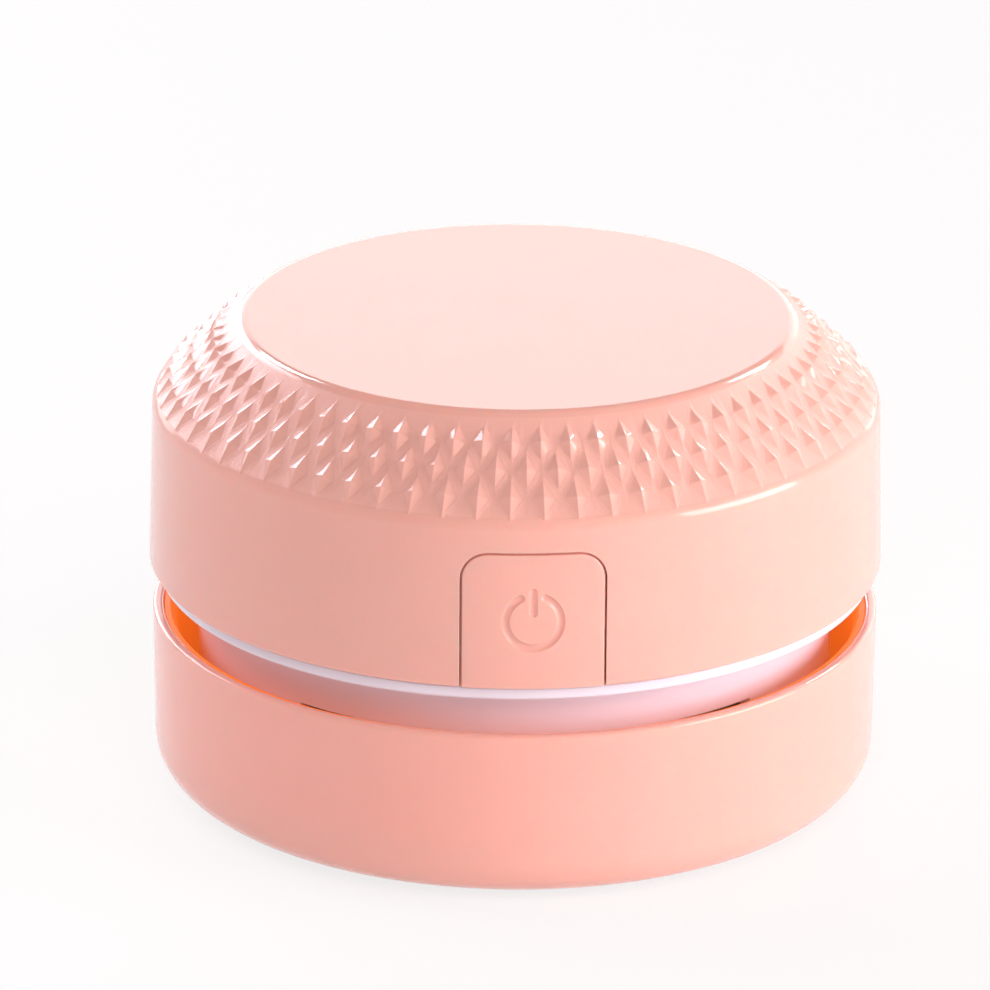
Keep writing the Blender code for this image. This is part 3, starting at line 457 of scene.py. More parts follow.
# %% Zinc-plated steel
# Pressed and plated steel: cool and metallic, with faint cloudy patches in its gloss.
steel, tree, shader, place = new_material("zinc_plated_steel", "C9CBCD", 0.28, 1.0)
clouds = add_node(tree, "ShaderNodeTexNoise", {"Scale": 500.0, "Detail": 4.0}, {"Vector": place})
uneven = add_node(
    tree, "ShaderNodeMapRange", {"To Min": 0.2, "To Max": 0.4}, {"Value": clouds.outputs["Fac"]})
tree.links.new(uneven.outputs["Result"], shader.inputs["Roughness"])

# %% Circuit board
# Solder mask over copper: a green lacquer with a faint weave of the glass cloth below it.
board, tree, shader, place = new_material("green_solder_mask", "1E6B3A", 0.3)
weave = add_node(
    tree, "ShaderNodeTexChecker", {"Scale": 2500.0, "Color1": linear("1C6536"), "Color2": linear("20713E")},
    {"Vector": place})
tree.links.new(weave.outputs["Color"], shader.inputs["Base Color"])

# %% Shrink wrap
# PVC sleeve shrunk on the cell: deep blue, glossy, with shallow wrinkles.
wrap, tree, shader, place = new_material("blue_shrink_wrap", "2A5CA8", 0.25)
tree.links.new(mottled(tree, place, 250, "27579F", "2D61B1"), shader.inputs["Base Color"])
wrinkles = add_node(tree, "ShaderNodeTexNoise", {"Scale": 600.0, "Detail": 2.0}, {"Vector": place})
bumped(tree, shader, wrinkles.outputs["Fac"], 0.05, 0.3)

# %% [markdown]
# ## Copies round the axis
# One Geometry Nodes tree turns copies of a piece about Z. It serves the studs, the bayonet's lugs
# and ledges, the key ribs and the feet's recesses, and its result is kept as a plain mesh.

# %% The tree and the call that uses it
def new_tree(name, *inputs):
    """A Geometry Nodes tree with these named inputs, and the sockets that give them."""
    tree = bpy.data.node_groups.new(name, "GeometryNodeTree")
    for title, kind in inputs:
        tree.interface.new_socket(title, in_out="INPUT", socket_type="NodeSocket" + kind)
    tree.interface.new_socket("Geometry", in_out="OUTPUT", socket_type="NodeSocketGeometry")
    return tree, add_node(tree, "NodeGroupInput").outputs


def end_tree(tree, material, piece, points, rotation, scale=None):
    """Copies of a piece on points as one real mesh with one material, at the end of a tree."""
    links = {"Points": points, "Instance": piece, "Rotation": rotation}
    if scale is not None:
        links["Scale"] = scale
    placed = add_node(tree, "GeometryNodeInstanceOnPoints", links=links)
    real = add_node(tree, "GeometryNodeRealizeInstances", links={"Geometry": placed.outputs["Instances"]})
    painted = add_node(
        tree, "GeometryNodeSetMaterial",
        links={"Geometry": real.outputs["Geometry"], "Material": material})
    add_node(tree, "NodeGroupOutput", links={"Geometry": painted.outputs["Geometry"]})
    return tree


def copies_tree():
    """Count copies of an object round Z from a first angle."""
    tree, given = new_tree(
        "copies_round_axis", ("Piece", "Object"), ("Count", "Int"), ("First angle", "Float"),
        ("Material", "Material"))
    index = add_node(tree, "GeometryNodeInputIndex").outputs["Index"]
    step = add_node(tree, "ShaderNodeMath", {"operation": "DIVIDE", 0: math.tau}, {1: given["Count"]})
    angle = add_node(
        tree, "ShaderNodeMath", {"operation": "MULTIPLY_ADD"},
        {0: index, 1: step.outputs["Value"], 2: given["First angle"]})
    turn = add_node(
        tree, "FunctionNodeAxisAngleToRotation", {"Axis": (0, 0, 1)}, {"Angle": angle.outputs["Value"]})
    points = add_node(tree, "GeometryNodePoints", links={"Count": given["Count"]})
    piece = add_node(tree, "GeometryNodeObjectInfo", links={"Object": given["Piece"]})
    return end_tree(
        tree, given["Material"], piece.outputs["Geometry"], points.outputs["Points"],
        turn.outputs["Rotation"])


COPIES = copies_tree()


def run_tree(name, tree, **values):
    """The plain mesh that a tree makes from its named inputs."""
    item = link(name, bpy.data.meshes.new(name))
    nodes = item.modifiers.new("Nodes", "NODES")
    nodes.node_group = tree
    for socket in tree.interface.items_tree:
        key = socket.name.lower().replace(" ", "_")
        if socket.in_out == "INPUT" and key in values:
            nodes[socket.identifier] = values[key]
    return plain(item)


def round_axis(name, piece, count, first_deg=0.0, material=None):
    """Copies of a piece round the axis, in place of the piece."""
    copies = run_tree(
        name, COPIES, piece=piece, count=count, first_angle=math.radians(first_deg), material=material)
    bpy.data.objects.remove(piece, do_unlink=True)
    return copies


def at_angles(name, piece, angles):
    """Copies of a piece at uneven angles, in place of the piece."""
    turns = [Matrix.Rotation(math.radians(angle), 4, "Z") for angle in angles]
    copies = [moved(link(name, piece.data.copy()), turn) for turn in turns]
    bpy.data.objects.remove(piece, do_unlink=True)
    return gathered(name, copies)


print("tree inputs:", ", ".join(s.name for s in COPIES.interface.items_tree if s.in_out == "INPUT"))

# %% [markdown]
# ## Upper cover
# The shell is one turned wall with round bosses inside. The mould gave its cone three staggered
# rows of long studs with worn edges. A bump would keep the outline smooth, so each stud is a real
# pyramid, copied round the axis and joined. Notch, port and screw holes are then cut in one go.
# The notch is drawn flat and laid on the tapered wall, with sides that stay parallel.

# %% Flat shapes laid on the tapered wall
NOTCH_WIDTH = 16.5
NOTCH_TOP_Z = SHELL_Z + 16.1
NOTCH_ROUND = 3.2


def wall_radius(z_mm):
    """Outer radius of the upper wall at a height."""
    return SHELL_R + (SHOULDER_R - SHELL_R) * (z_mm - SHELL_Z) / (SHOULDER_Z - SHELL_Z)


def wrapped(item, side_deg=-90.0, slice_mm=0.5):
    """Bend a flat piece onto the wall; its sides stay straight, so that a key slides between them."""
    shape = bmesh.new()
    shape.from_mesh(item.data)
    widest = max(abs(vert.co.x) for vert in shape.verts) / MM
    cuts = int(widest / slice_mm)
    for step in range(-cuts, cuts + 1):
        bmesh.ops.bisect_plane(
            shape, geom=[*shape.verts, *shape.edges, *shape.faces], dist=MERGE / 10,
            plane_co=(step * slice_mm * MM, 0, 0), plane_no=(1, 0, 0))
    side = math.radians(side_deg)
    for vert in shape.verts:
        reach = wall_radius(vert.co.y / MM) * MM + vert.co.z
        across = SHOULDER_R * MM * math.sin(vert.co.x / (SHOULDER_R * MM))
        out = math.sqrt(reach ** 2 - across ** 2)
        vert.co = (
            out * math.cos(side) - across * math.sin(side),
            out * math.sin(side) + across * math.cos(side), vert.co.y)
    shape.normal_update()
    shape.to_mesh(item.data)
    shape.free()
    return item


def stepped(name, rings):
    """A solid through flat outlines of equal length, each at its own depth in millimetres."""
    shape = bmesh.new()
    loops = [
        [shape.verts.new((x * MM, y * MM, depth * MM)) for x, y in outline]
        for outline, depth in rings]
    for low, high in zip(loops, loops[1:]):
        for index in range(len(low)):
            after = (index + 1) % len(low)
            shape.faces.new((low[index], low[after], high[after], high[index]))
    shape.faces.new(loops[0])
    shape.faces.new(loops[-1])
    return from_bmesh(name, shape)


def notch_outline(margin, low=None):
    """The key's outline, open past the shell's lower edge, shrunk by a margin."""
    half = NOTCH_WIDTH / 2 - margin
    high = NOTCH_TOP_Z - margin
    low = SHELL_Z - 3 if low is None else low
    corner = NOTCH_ROUND - margin
    return rounded(((-half, low), (half, low), (half, high, corner), (-half, high, corner)), 10)


# %% Studs
STUD_ROWS = (0.284, 0.528, 0.771)
STUD_COUNT = 68
STUD_TURN = 1.66
STUD_WIDTH_SHARE = 0.79
STUD_LENGTH_SHARE = 1.8
STUD_HEIGHT = 0.7
STUD_SINK = 0.1


def stud(share):
    """A long four-sided pyramid with worn edges, standing on the cone at a share of its slant."""
    top = Vector((TOP_R, TOP_Z))
    shoulder = Vector((SHOULDER_R, SHOULDER_Z))
    slope = (shoulder - top).normalized()
    outward = Vector((-slope.y, slope.x))
    middle = (top.lerp(shoulder, share) - outward * STUD_SINK) * MM
    axes = Matrix((
        (0, -slope.x, outward.x, middle.x),
        (1, 0, 0, 0),
        (0, -slope.y, outward.y, middle.y),
        (0, 0, 0, 1)))
    grow = (STUD_HEIGHT + STUD_SINK) / STUD_HEIGHT
    half_width = STUD_WIDTH_SHARE * math.pi * middle.x / STUD_COUNT * grow
    half_length = half_width * STUD_LENGTH_SHARE
    shape = bmesh.new()
    base = [shape.verts.new(corner) for corner in (
        (half_width, 0, 0), (0, half_length, 0), (-half_width, 0, 0), (0, -half_length, 0))]
    peak = shape.verts.new((0, 0, (STUD_HEIGHT + STUD_SINK) * MM))
    shape.faces.new(base)
    for index in range(4):
        shape.faces.new((base[index], base[(index + 1) % 4], peak))
    ridges = list(peak.link_edges)
    bmesh.ops.bevel(
        shape, geom=[*ridges, peak], offset=0.09 * MM, segments=2, profile=0.6, affect="EDGES")
    shape.transform(axes)
    return from_bmesh("stud", shape)


rows = []
for row, share in enumerate(STUD_ROWS):
    first = -90 + STUD_TURN + (row % 2) * 180 / STUD_COUNT
    rows.append(round_axis("row", stud(share), STUD_COUNT, first, salmon))
studs = gathered("studs", rows)
print("studs:", STUD_COUNT * len(STUD_ROWS), "with", len(studs.data.polygons), "faces")

# %% Shell
WALL = 1.8
BOSS_RING_R = 29.5
BOSS_ANGLES = (28, 152, 235, 305)
inner_drop = WALL * math.tan((math.pi / 2 - STEEP) / 2)
inner_top = TOP_R - WALL * math.tan(STEEP / 2)
shell_profile = [
    *rounded((
        (0, TOP_Z), (TOP_R, TOP_Z, 1.8), (SHOULDER_R, SHOULDER_Z, 2.0), (SHELL_R, SHELL_Z, 0.4),
        (SHELL_R - WALL, SHELL_Z), (SHOULDER_R - WALL, SHOULDER_Z - inner_drop), (inner_top, TOP_Z - WALL),
        (0, TOP_Z - WALL)), 8, closed=False)]
cover = turned("cover_shell", shell_profile, 264, closed=False)
post = at_angles("bosses", rod("boss", 2.9, 29.1, TOP_Z - WALL + 0.4, 32, (BOSS_RING_R, 0)), BOSS_ANGLES)
combine(cover, gathered("additions", [studs, post]), "UNION")
holes = at_angles("holes", rod("hole", 1.5, 26, 35.1, 24, (BOSS_RING_R, 0)), BOSS_ANGLES)
notch = wrapped(stepped("notch", [
    (notch_outline(0), -3.0), (notch_outline(0), -0.14), (notch_outline(-0.02), -0.07),
    (notch_outline(-0.07), -0.02), (notch_outline(-0.14), 0.0), (notch_outline(-0.24), 1.0)]))
SOCKET_Z = (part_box("charging_socket")[0][2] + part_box("charging_socket")[1][2]) / 2 / MM


def slot_outline(width, height, radius, middle):
    """A flat rectangle with round corners, centred on X, at a height."""
    half, tall = width / 2, height / 2
    return rounded((
        (-half, middle - tall, radius), (half, middle - tall, radius),
        (half, middle + tall, radius), (-half, middle + tall, radius)), 8)


port = wrapped(stepped("port", [
    (slot_outline(9.54, 3.76, 1.58, SOCKET_Z), -4.0), (slot_outline(9.54, 3.76, 1.58, SOCKET_Z), -0.75),
    (slot_outline(9.84, 4.06, 1.7, SOCKET_Z), -0.6), (slot_outline(11.9, 6.1, 2.07, SOCKET_Z), -0.6),
    (slot_outline(12.0, 6.2, 2.07, SOCKET_Z), -0.12), (slot_outline(12.3, 6.5, 2.2, SOCKET_Z), 0.0),
    (slot_outline(12.5, 6.7, 2.3, SOCKET_Z), 1.0)]), 90.0)
combine(cover, gathered("openings", [holes, notch, port]), "DIFFERENCE")
dressed(cover, salmon, "upper_unit", "top_cover", slot="salmon_abs")

# %% [markdown]
# ## Power key
# A flush plastic key that slides inwards, with the generic power sign pressed into it. It is made
# flat, because a groove of even depth is easiest to cut there: round tubes along the sign's lines
# are cut away, and then the key is laid on the wall like the notch. A step behind the narrow gap
# keeps the light out, and a flange inside stops the key.

# %% Engraving tools
def groove_tube(name, points, radius, steps=12):
    """A round tube with ball ends along flat points, for a groove with round ends."""
    curve = bpy.data.curves.new(name, "CURVE")
    curve.dimensions = "3D"
    curve.bevel_depth = radius * MM
    curve.bevel_resolution = steps // 2
    curve.use_fill_caps = True
    spline = curve.splines.new("POLY")
    spline.points.add(len(points) - 1)
    for point, place in zip(spline.points, points):
        point.co = (*(Vector(place) * MM), 1)
    item = bpy.data.objects.new(name, curve)
    bpy.context.scene.collection.objects.link(item)
    graph = bpy.context.evaluated_depsgraph_get()
    mesh = bpy.data.meshes.new_from_object(item.evaluated_get(graph))
    bpy.data.objects.remove(item, do_unlink=True)
    tube = link(name, mesh)
    for place in (points[0], points[-1]):
        shape = bmesh.new()
        where = Matrix.Translation(Vector(place) * MM) @ Matrix.Rotation(0.37, 4, (1, 2, 3))
        bmesh.ops.create_uvsphere(shape, u_segments=24, v_segments=16, radius=radius * MM, matrix=where)
        combine(tube, from_bmesh("ball", shape), "UNION")
    return tube


# %% Key
ICON_Z = 35.3
ICON_RING_R = 3.1
GROOVE_R = 0.54
GROOVE_LIFT = 0.24
KEY_GAP = 0.22
KEY_STEP = 0.08
SPIGOT_R = 39.9
key_low = SHELL_Z + 0.02
key = stepped("power_key", [
    (notch_outline(KEY_STEP, key_low), -2.4), (notch_outline(KEY_STEP, key_low), -0.6),
    (notch_outline(KEY_GAP, key_low), -0.45), (notch_outline(KEY_GAP, key_low), -0.15),
    (notch_outline(KEY_GAP + 0.02, key_low + 0.02), -0.07),
    (notch_outline(KEY_GAP + 0.07, key_low + 0.07), -0.02),
    (notch_outline(KEY_GAP + 0.15, key_low + 0.15), 0.0)])
ring = [
    (ICON_RING_R * math.sin(math.radians(turn)), ICON_Z + ICON_RING_R * math.cos(math.radians(turn)),
     GROOVE_LIFT) for turn in range(25, 336, 4)]
combine(key, groove_tube("ring_groove", ring, GROOVE_R), "DIFFERENCE")
bar = [(0, ICON_Z + 1.05, GROOVE_LIFT), (0, ICON_Z + 3.5, GROOVE_LIFT)]
combine(key, groove_tube("bar_groove", bar, GROOVE_R), "DIFFERENCE")
wrapped(key)
flange_half = math.degrees(math.asin(10.0 / SPIGOT_R))
flange = sector(
    "flange", 38.9, SPIGOT_R, SHELL_Z + 2.2, NOTCH_TOP_Z - 1.5, 270 - flange_half, 270 + flange_half, 24)
combine(key, flange, "UNION")
dressed(key, salmon, "button_unit", "power_button", slot="salmon_abs")

# %% [markdown]
# ## Drum and ring
# The white ring and the drum are one moulding that hangs below the cover. It is turned as one
# profile, and lugs, key ribs, screw tabs and windows are joined or cut at their angles.

# %% Drum and ring
DRUM_R = 36.8
DRUM_INNER_R = 35.3
FLANGE_R = 41.4
SPIGOT_INNER_R = 38.8
LOCK_COUNT = 3
ROUND_STEPS = 192
WINDOW_ANGLES = (30, 54, 78, 102, 126, 150, 234, 258, 282, 306)
drum = turned("drum_and_ring", rounded((
    (FLANGE_R, 27.0, 0.25), (FLANGE_R, 25.5, 0.5), (DRUM_R, 25.5, 0.4), (DRUM_R, 8.5, 0.5),
    (DRUM_INNER_R, 8.5, 0.3), (DRUM_INNER_R, 15.8), (9.0, 15.8, 0.4), (9.0, 17.2, 0.4),
    (DRUM_INNER_R, 17.2, 0.3), (DRUM_INNER_R, 27.0), (SPIGOT_INNER_R, 27.0), (SPIGOT_INNER_R, 31.0, 0.3),
    (SPIGOT_R, 31.0, 0.3), (SPIGOT_R, 27.0)), 5), ROUND_STEPS)
lug = sector("lug", 34.2, 36.0, 8.55, 10.3, 13, 27, 12)
combine(drum, round_axis("lugs", lug, LOCK_COUNT, 90, white), "UNION")
rib_pair = gathered("ribs", [
    sector("rib", 34.2, 36.0, 12.4, 16.0, start, start + 2, 2) for start in (63.8, 54.2)])
combine(drum, round_axis("key_ribs", rib_pair, LOCK_COUNT, 90, white), "UNION")
TAB_HALF = 3.2
tab = plate("tab", rounded((
    (BOSS_RING_R - TAB_HALF, -TAB_HALF, TAB_HALF), (36.0, -TAB_HALF), (36.0, TAB_HALF),
    (BOSS_RING_R - TAB_HALF, TAB_HALF, TAB_HALF)), 12), 25.65, 26.95)
combine(drum, at_angles("tabs", tab, BOSS_ANGLES), "UNION")
holes = at_angles("tab_holes", rod("hole", 1.5, 20, 30, 24, (BOSS_RING_R, 0)), BOSS_ANGLES)
combine(drum, holes, "DIFFERENCE")
window = sector("window", 33.8, 38.3, 17.6, 19.4, -8, 8, 16)
combine(drum, at_angles("windows", window, WINDOW_ANGLES), "DIFFERENCE")
combine(drum, box("spigot_gap", (-12.5, -43, 27.01), (12.5, -DRUM_INNER_R, 34)), "DIFFERENCE")
dressed(drum, white, "upper_unit", "mid_frame", slot="white_abs")

# %% [markdown]
# ## Cup, liner and feet
# The bowl that collects the dust: outer wall, collar for the filter and chimney of the inlet are one
# turned profile, so that no seam shows. The bayonet's ledges are joined to the collar. The orange
# liner is a ring of its own on a step inside the wall, and four pads stand in recesses.

# %% Dust cup
RIM_R = 42.1
RIM_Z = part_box("lower_housing")[1][2] / MM
FOOT_R = 41.85
BASE_Z = 1.0
CUP_FLOOR_Z = 2.8
FOOT_RING_R = 27.0
FOOT_ANGLES = (45, 135, 225, 315)
cup = turned("dust_cup_shell", rounded((
    (RIM_R, RIM_Z, 0.5), (FOOT_R, BASE_Z, 4.8), (15.2, BASE_Z, 0.2), (15.2, BASE_Z + 0.8),
    (11.2, BASE_Z + 0.8), (11.2, BASE_Z, 0.2), (9.0, BASE_Z, 0.5), (8.0, BASE_Z + 1.0, 0.8),
    (8.0, 8.0, 0.3), (9.4, 8.0, 0.4), (9.4, CUP_FLOOR_Z, 0.8), (32.4, CUP_FLOOR_Z, 0.8),
    (32.4, 13.0, 0.3), (33.9, 13.0, 0.4), (33.9, CUP_FLOOR_Z, 0.8), (39.7, CUP_FLOOR_Z, 2.8),
    (39.7, 7.5), (40.8, 7.5), (40.8, RIM_Z, 0.5)), 8), ROUND_STEPS)
ledge = sector("ledge", 33.15, 35.0, 10.6, 12.1, -8, 8, 14)
stop = sector("stop", 33.3, 34.96, 8.5, 11.35, -10.5, -7.5, 3)
combine(ledge, stop, "UNION")
recess = rod("recess", 3.8, -1, BASE_Z + 0.8, 48, (FOOT_RING_R, 0))
combine(cup, round_axis("recesses", recess, len(FOOT_ANGLES), FOOT_ANGLES[0], salmon), "DIFFERENCE")
combine(cup, round_axis("ledges", ledge, LOCK_COUNT, 90, salmon), "UNION")
dressed(cup, salmon, "dust_cup", "lower_housing", slot="salmon_abs")

# %% Liner
liner = turned("orange_liner", rounded((
    (40.76, 21.0, 0.1), (40.76, 20.2), (40.5, 20.0), (40.5, 7.8), (39.4, 7.8), (39.4, 19.6),
    (40.1, 21.0, 0.2)), 5), ROUND_STEPS)
dressed(liner, orange, "dust_cup", "outlet_liner", slot="orange_silicone")

# %% Feet
foot_profile = rounded((
    (0, 1.5), (3.5, 1.5, 0.2), (3.5, 0, 0.5), (2.2, 0, 0.15), (2.0, 0.2, 0.1), (0, 0.2)), 5, closed=False)
for index, angle in enumerate(FOOT_ANGLES):
    foot = turned("foot_pad_" + str(index + 1), foot_profile, 48, closed=False)
    turn = Matrix.Rotation(math.radians(angle), 4, "Z")
    moved(foot, Matrix.Translation(turn @ Vector((FOOT_RING_R * MM, 0, 0))))
    dressed(foot, rubber, "dust_cup", "foot_" + str(index + 1), slot="dark_rubber")

# %% [markdown]
# ## Brush and filter
# The brush is a plastic ring with tufts. Hair particles would not come out as a mesh, so a second
# tree scatters real bristles on a disc, each with its own lean and length from a fixed seed, once
# for each tuft. The filter's cloth is one turned wave of soft pleats below a rubber ring.

# %% Brush
def tuft_tree():
    """A bundle of bristles that hang from a disc, each with its own lean and length from a seed."""
    tree, given = new_tree(
        "bristle_bundle", ("Bristle", "Object"), ("Radius", "Float"), ("Density", "Float"),
        ("Lean", "Float"), ("Seed", "Int"), ("Material", "Material"))
    disc = add_node(tree, "GeometryNodeMeshCircle", {"fill_type": "NGON"}, {"Radius": given["Radius"]})
    roots = add_node(
        tree, "GeometryNodeDistributePointsOnFaces",
        links={"Mesh": disc.outputs["Mesh"], "Density": given["Density"], "Seed": given["Seed"]})
    lean = add_node(
        tree, "FunctionNodeRandomValue", {"data_type": "FLOAT_VECTOR", 0: (-1, -1, -3), 1: (1, 1, 3)},
        {"Seed": given["Seed"]})
    leant = add_node(
        tree, "ShaderNodeVectorMath", {"operation": "SCALE"}, {0: lean.outputs[0], 3: given["Lean"]})
    turn = add_node(tree, "FunctionNodeEulerToRotation", links={"Euler": leant.outputs["Vector"]})
    length = add_node(
        tree, "FunctionNodeRandomValue", {"data_type": "FLOAT", 2: 0.86, 3: 1.0}, {"Seed": given["Seed"]})
    bristle = add_node(tree, "GeometryNodeObjectInfo", links={"Object": given["Bristle"]})
    return end_tree(
        tree, given["Material"], bristle.outputs["Geometry"], roots.outputs["Points"],
        turn.outputs["Rotation"], length.outputs[1])


BRUSH_R = 13.2
TUFT_COUNT = 16
bundle = tuft_tree()
bristle = rod("bristle", 0.09, -0.86, 0, 6)
tufts = []
for index in range(TUFT_COUNT):
    tuft = run_tree(
        "tuft", bundle, bristle=bristle, radius=0.66 * MM, density=1.9e7, lean=0.2, seed=index + 3,
        material=nylon)
    moved(tuft, Matrix.Translation((BRUSH_R * MM, 0, 0.98 * MM)))
    tufts.append(moved(tuft, Matrix.Rotation(math.tau * index / TUFT_COUNT, 4, "Z")))
bpy.data.objects.remove(bristle, do_unlink=True)
holder = turned("holder", rounded((
    (BRUSH_R + 1.7, 1.5, 0.1), (BRUSH_R + 1.7, 0.7, 0.2), (BRUSH_R - 1.7, 0.7, 0.2),
    (BRUSH_R - 1.7, 1.5, 0.1)), 4), 128)
dressed(gathered("brush", [holder, *tufts]), nylon, "dust_cup", "brush_ring", slot="nylon_bristle")

# %% Filter
CLOTH_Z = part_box("filter_cloth")[0][2] / MM
CLOTH_R = 30.2
wave = [
    (CLOTH_R * step / 64, CLOTH_Z + 0.55 * (1 - math.cos(math.tau * step / 16))) for step in range(65)]
cloth = turned(
    "pleated_cloth", [*wave, *[(reach, height + 0.5) for reach, height in reversed(wave)]], 144,
    closed=False)
dressed(cloth, felt, "filter_unit", "filter_cloth", slot="filter_cloth", angle=60)
seal = turned("seal_ring", rounded((
    (33.6, 14.8, 0.25), (33.6, 15.5, 0.25), (32.7, 15.5, 0.1), (32.4, 15.25, 0.2), (32.1, 15.5, 0.1),
    (31.2, 15.5, 0.25), (31.2, 14.8, 0.25)), 4), 144)
dressed(seal, rubber, "filter_unit", "filter_seal", slot="dark_rubber")

# %% [markdown]
# ## Motor, battery and boards
# These keep the CAD's shape, because little of them is seen. The CAD mesh is merged first, and its
# sharp edges then get the small rounds that moulding, pressing or sawing leaves, so that they catch
# the light. The screws are turned anew, with the rings of a thread, and a cross is cut into each.

# %% Rounded copies of the CAD solids
def softened(node, material, body, slot, edge_mm):
    """A finished copy of a CAD solid with its sharp edges rounded."""
    shape = bmesh.new()
    shape.from_mesh(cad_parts[node].data)
    shape.transform(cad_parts[node].matrix_world)
    bmesh.ops.remove_doubles(shape, verts=shape.verts, dist=MERGE)
    bmesh.ops.dissolve_limit(
        shape, angle_limit=math.radians(0.5), verts=shape.verts, edges=shape.edges)
    sharp = [edge for edge in shape.edges if edge.is_manifold and edge.calc_face_angle() > math.radians(35)]
    bmesh.ops.bevel(
        shape, geom=sharp, offset=edge_mm * MM, segments=2, profile=0.5, affect="EDGES", clamp_overlap=True)
    return dressed(from_bmesh("soft_" + node, shape), material, body, node, slot=slot, angle=40)


SOFT = (
    ("filter_frame", grey, "filter_unit", "grey_abs", 0.12),
    ("motor_bracket", grey, "upper_unit", "grey_abs", 0.12),
    ("motor_can", steel, "upper_unit", "plated_steel", 0.3),
    ("motor_end_cap", black, "upper_unit", "black_nylon", 0.2),
    ("battery_cell", wrap, "upper_unit", "cell_wrap", 0.3),
    ("circuit_board", board, "upper_unit", "circuit_board", 0.06),
    ("switch_board", board, "upper_unit", "circuit_board", 0.06),
    ("switch_body", black, "upper_unit", "black_nylon", 0.1),
    ("switch_plunger", grey, "button_unit", "grey_abs", 0.1),
    ("charging_socket", steel, "upper_unit", "plated_steel", 0.06),
    ("impeller", black, "rotor", "black_nylon", 0.1),
    ("motor_shaft", steel, "rotor", "plated_steel", 0.1))
for node, material, body, slot, edge_mm in SOFT:
    softened(node, material, body, slot, edge_mm)

# %% Screws
HEAD_Z, SEAT_Z, TIP_Z = 23.65, 25.35, 33.6
head = rounded((
    (0, HEAD_Z), (2.2, HEAD_Z, 0.8), (2.2, SEAT_Z, 0.15), (1.15, SEAT_Z), (1.15, 27.0)), 5, closed=False)
thread = [(1.2 - 0.26 * (step % 2), 27.3 + 0.25 * step) for step in range(24)]
for index, angle in enumerate(BOSS_ANGLES):
    screw = turned(
        "pan_head_screw_" + str(index + 1), [*head, *thread, (0.6, TIP_Z), (0, TIP_Z)], 32, closed=False)
    cross = box("cross", (-1.25, -0.3, HEAD_Z - 1), (1.25, 0.3, HEAD_Z + 0.7))
    combine(cross, box("bar", (-0.3, -1.25, HEAD_Z - 1), (0.3, 1.25, HEAD_Z + 0.7)), "UNION")
    combine(screw, cross, "DIFFERENCE")
    turn = Matrix.Rotation(math.radians(angle), 4, "Z")
    moved(screw, turn @ Matrix.Translation((BOSS_RING_R * MM, 0, 0)))
    dressed(screw, steel, "upper_unit", "cover_screw_" + str(index + 1), slot="plated_steel")

# %% [markdown]
# ## Camera, light and floor
# The camera stands a metre off with a long lens, fitted to the photograph's ellipses and edges.
# The photo is a soft studio picture with small hard streaks. One lamp can't give both, so wide
# panels light the matt colour without being mirrored, and small ones are only seen in the gloss.

# %% Camera
DISTANCE = 1.0
LOOK_Z = 34.1
LOOK_LEFT = 2.4
azimuth, elevation, roll = (math.radians(v) for v in (-2.7, 21.19, 0.44))
back = Vector((
    math.sin(azimuth) * math.cos(elevation), -math.cos(azimuth) * math.cos(elevation),
    math.sin(elevation)))
right = Vector((math.cos(azimuth), math.sin(azimuth), 0))
up = back.cross(right)
target = Vector((0, 0, LOOK_Z * MM)) - right * LOOK_LEFT * MM
eye = target + back * DISTANCE
rolled_right = right * math.cos(roll) + up * math.sin(roll)
rolled_up = up * math.cos(roll) - right * math.sin(roll)
lens = bpy.data.cameras.new("camera")
lens.lens = 313.8
lens.sensor_width = 36
lens.clip_start = 0.01
camera = bpy.data.objects.new("camera", lens)
bpy.context.scene.collection.objects.link(camera)
camera.matrix_world = Matrix((
    (rolled_right.x, rolled_up.x, back.x, eye.x),
    (rolled_right.y, rolled_up.y, back.y, eye.y),
    (rolled_right.z, rolled_up.z, back.z, eye.z),
    (0, 0, 0, 1)))
bpy.context.scene.camera = camera
bpy.context.scene.view_settings.view_transform = "Standard"
print("camera at", [round(v, 3) for v in eye])

# %% Lamps
# Panels that shine are seen in the gloss, and panels that light fill the matt part of the colour.
AIM = Vector((0, 0, 35 * MM))


def panel(
        name, turn_deg, rise_deg, away, width, height, radiance, colour="FFFFFF", lights=True, shines=True,
        roll_deg=0.0):
    """A soft panel at a bearing, 0 behind and 90 at the right, that lights, shines or does both."""
    turn, rise = math.radians(turn_deg), math.radians(rise_deg)
    out = Vector((math.sin(turn) * math.cos(rise), math.cos(turn) * math.cos(rise), math.sin(rise)))
    place = out * away + AIM
    light = bpy.data.lights.new(name, "AREA")
    light.shape = "RECTANGLE"
    light.size = width
    light.size_y = height
    light.energy = radiance * math.pi * width * height
    light.color = linear(colour)[:3]
    lamp = bpy.data.objects.new(name, light)
    bpy.context.scene.collection.objects.link(lamp)
    lamp.location = place
    facing = out.to_track_quat("Z", "Y").to_matrix()
    lamp.rotation_euler = (facing @ Matrix.Rotation(math.radians(roll_deg), 3, "Z")).to_euler()
    lamp.visible_camera = False
    lamp.visible_diffuse = lights
    lamp.visible_glossy = shines
    print(name, "at", [round(v, 2) for v in place], "gives", round(light.energy, 2), "W")
    return lamp


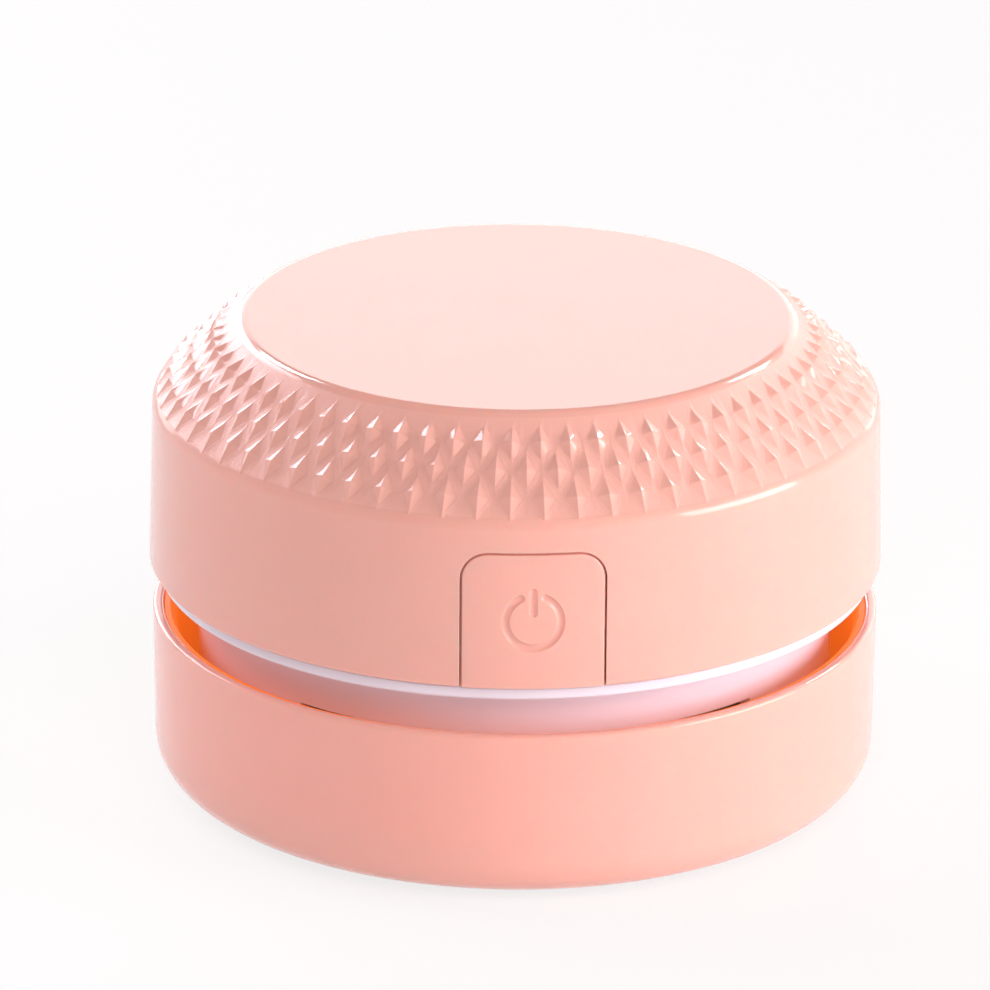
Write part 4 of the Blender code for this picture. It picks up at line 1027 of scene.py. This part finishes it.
panel("back_panel", 0, 14, 0.8, 1.6, 0.40, 2.0, lights=False)
panel("strip_left", -27, 38, 0.7, 0.12, 0.16, 33, "F6F2FF", lights=False)
panel("soft_left", -33, 22, 0.75, 0.15, 0.76, 9, "F6F2FF", lights=False, roll_deg=-45)
panel("left_fill", -62, 30, 0.8, 0.5, 0.36, 5.0, "F6F2FF", shines=False)
panel("strip_right", 46, 38, 0.7, 0.13, 0.16, 26, lights=False)
panel("key_right", 110, 12, 0.8, 0.6, 0.36, 8, "FFF6F8")
panel("front_fill", 174, 40, 0.9, 0.5, 0.4, 4.2, "FFF2EC", shines=False)

# %% World and floor
# The camera's rays, and rays that pass through something, see pure white. The rest see a studio
# that dims upwards and to the front left, and turns a little warmer upwards.
world = bpy.data.worlds.new("studio")
bpy.context.scene.world = world
world.use_nodes = True
tree = world.node_tree
tree.nodes.clear()
rays = add_node(tree, "ShaderNodeLightPath")
seen = add_node(
    tree, "ShaderNodeMath", {"operation": "MAXIMUM"},
    {0: rays.outputs["Is Camera Ray"], 1: rays.outputs["Is Transmission Ray"]})
compass = add_node(tree, "ShaderNodeTexCoord")
heading = add_node(tree, "ShaderNodeSeparateXYZ", links={"Vector": compass.outputs["Generated"]})
level = add_node(
    tree, "ShaderNodeMapRange", {"From Max": 0.8, "To Min": 1.04, "To Max": 0.2},
    {"Value": heading.outputs["Z"]})
warmth = add_node(
    tree, "ShaderNodeMix", {"data_type": "RGBA", 6: linear("FFFFFF"), 7: linear("FFE4D4")},
    {0: heading.outputs["Z"]})
leaning = add_node(
    tree, "ShaderNodeVectorMath", {"operation": "DOT_PRODUCT", 1: (-0.64, -0.77, 0)},
    {0: compass.outputs["Generated"]})
shade = add_node(
    tree, "ShaderNodeMapRange", {"From Min": 0.0, "To Min": 1.05, "To Max": 0.45},
    {"Value": leaning.outputs["Value"]})
strength = add_node(
    tree, "ShaderNodeMath", {"operation": "MULTIPLY"},
    {0: level.outputs["Result"], 1: shade.outputs["Result"]})
dim = add_node(
    tree, "ShaderNodeBackground",
    links={"Color": warmth.outputs[2], "Strength": strength.outputs["Value"]})
bright = add_node(tree, "ShaderNodeBackground", {"Color": linear("FFFFFF"), "Strength": 1.0})
mixed = add_node(
    tree, "ShaderNodeMixShader",
    links={0: seen.outputs["Value"], 1: dim.outputs["Background"], 2: bright.outputs["Background"]})
add_node(tree, "ShaderNodeOutputWorld", links={"Surface": mixed.outputs["Shader"]})

# The floor is pale paper. For the camera and in the gloss it is mostly white, and keeps its shadow.
floor = box("floor", (-1500, -1500, -2), (1500, 1500, 0))
pale, tree, shader, place = new_material("pale_floor", "FAFAFA", 0.6)
rays = add_node(tree, "ShaderNodeLightPath")
direct = add_node(
    tree, "ShaderNodeMath", {"operation": "ADD"},
    {0: rays.outputs["Is Camera Ray"], 1: rays.outputs["Is Glossy Ray"]})
share = add_node(
    tree, "ShaderNodeMath", {"operation": "MULTIPLY", "use_clamp": True, 1: 0.8},
    {0: direct.outputs["Value"]})
paper = add_node(tree, "ShaderNodeEmission", {"Color": linear("FFFFFF"), "Strength": 1.0})
sheet = add_node(
    tree, "ShaderNodeMixShader",
    links={0: share.outputs["Value"], 1: shader.outputs["BSDF"], 2: paper.outputs["Emission"]})
tree.links.new(sheet.outputs["Shader"], tree.nodes["Material Output"].inputs["Surface"])
floor.data.materials.append(pale)
print("world:", world.name, "with", len(world.node_tree.nodes), "nodes, floor:", floor.name)
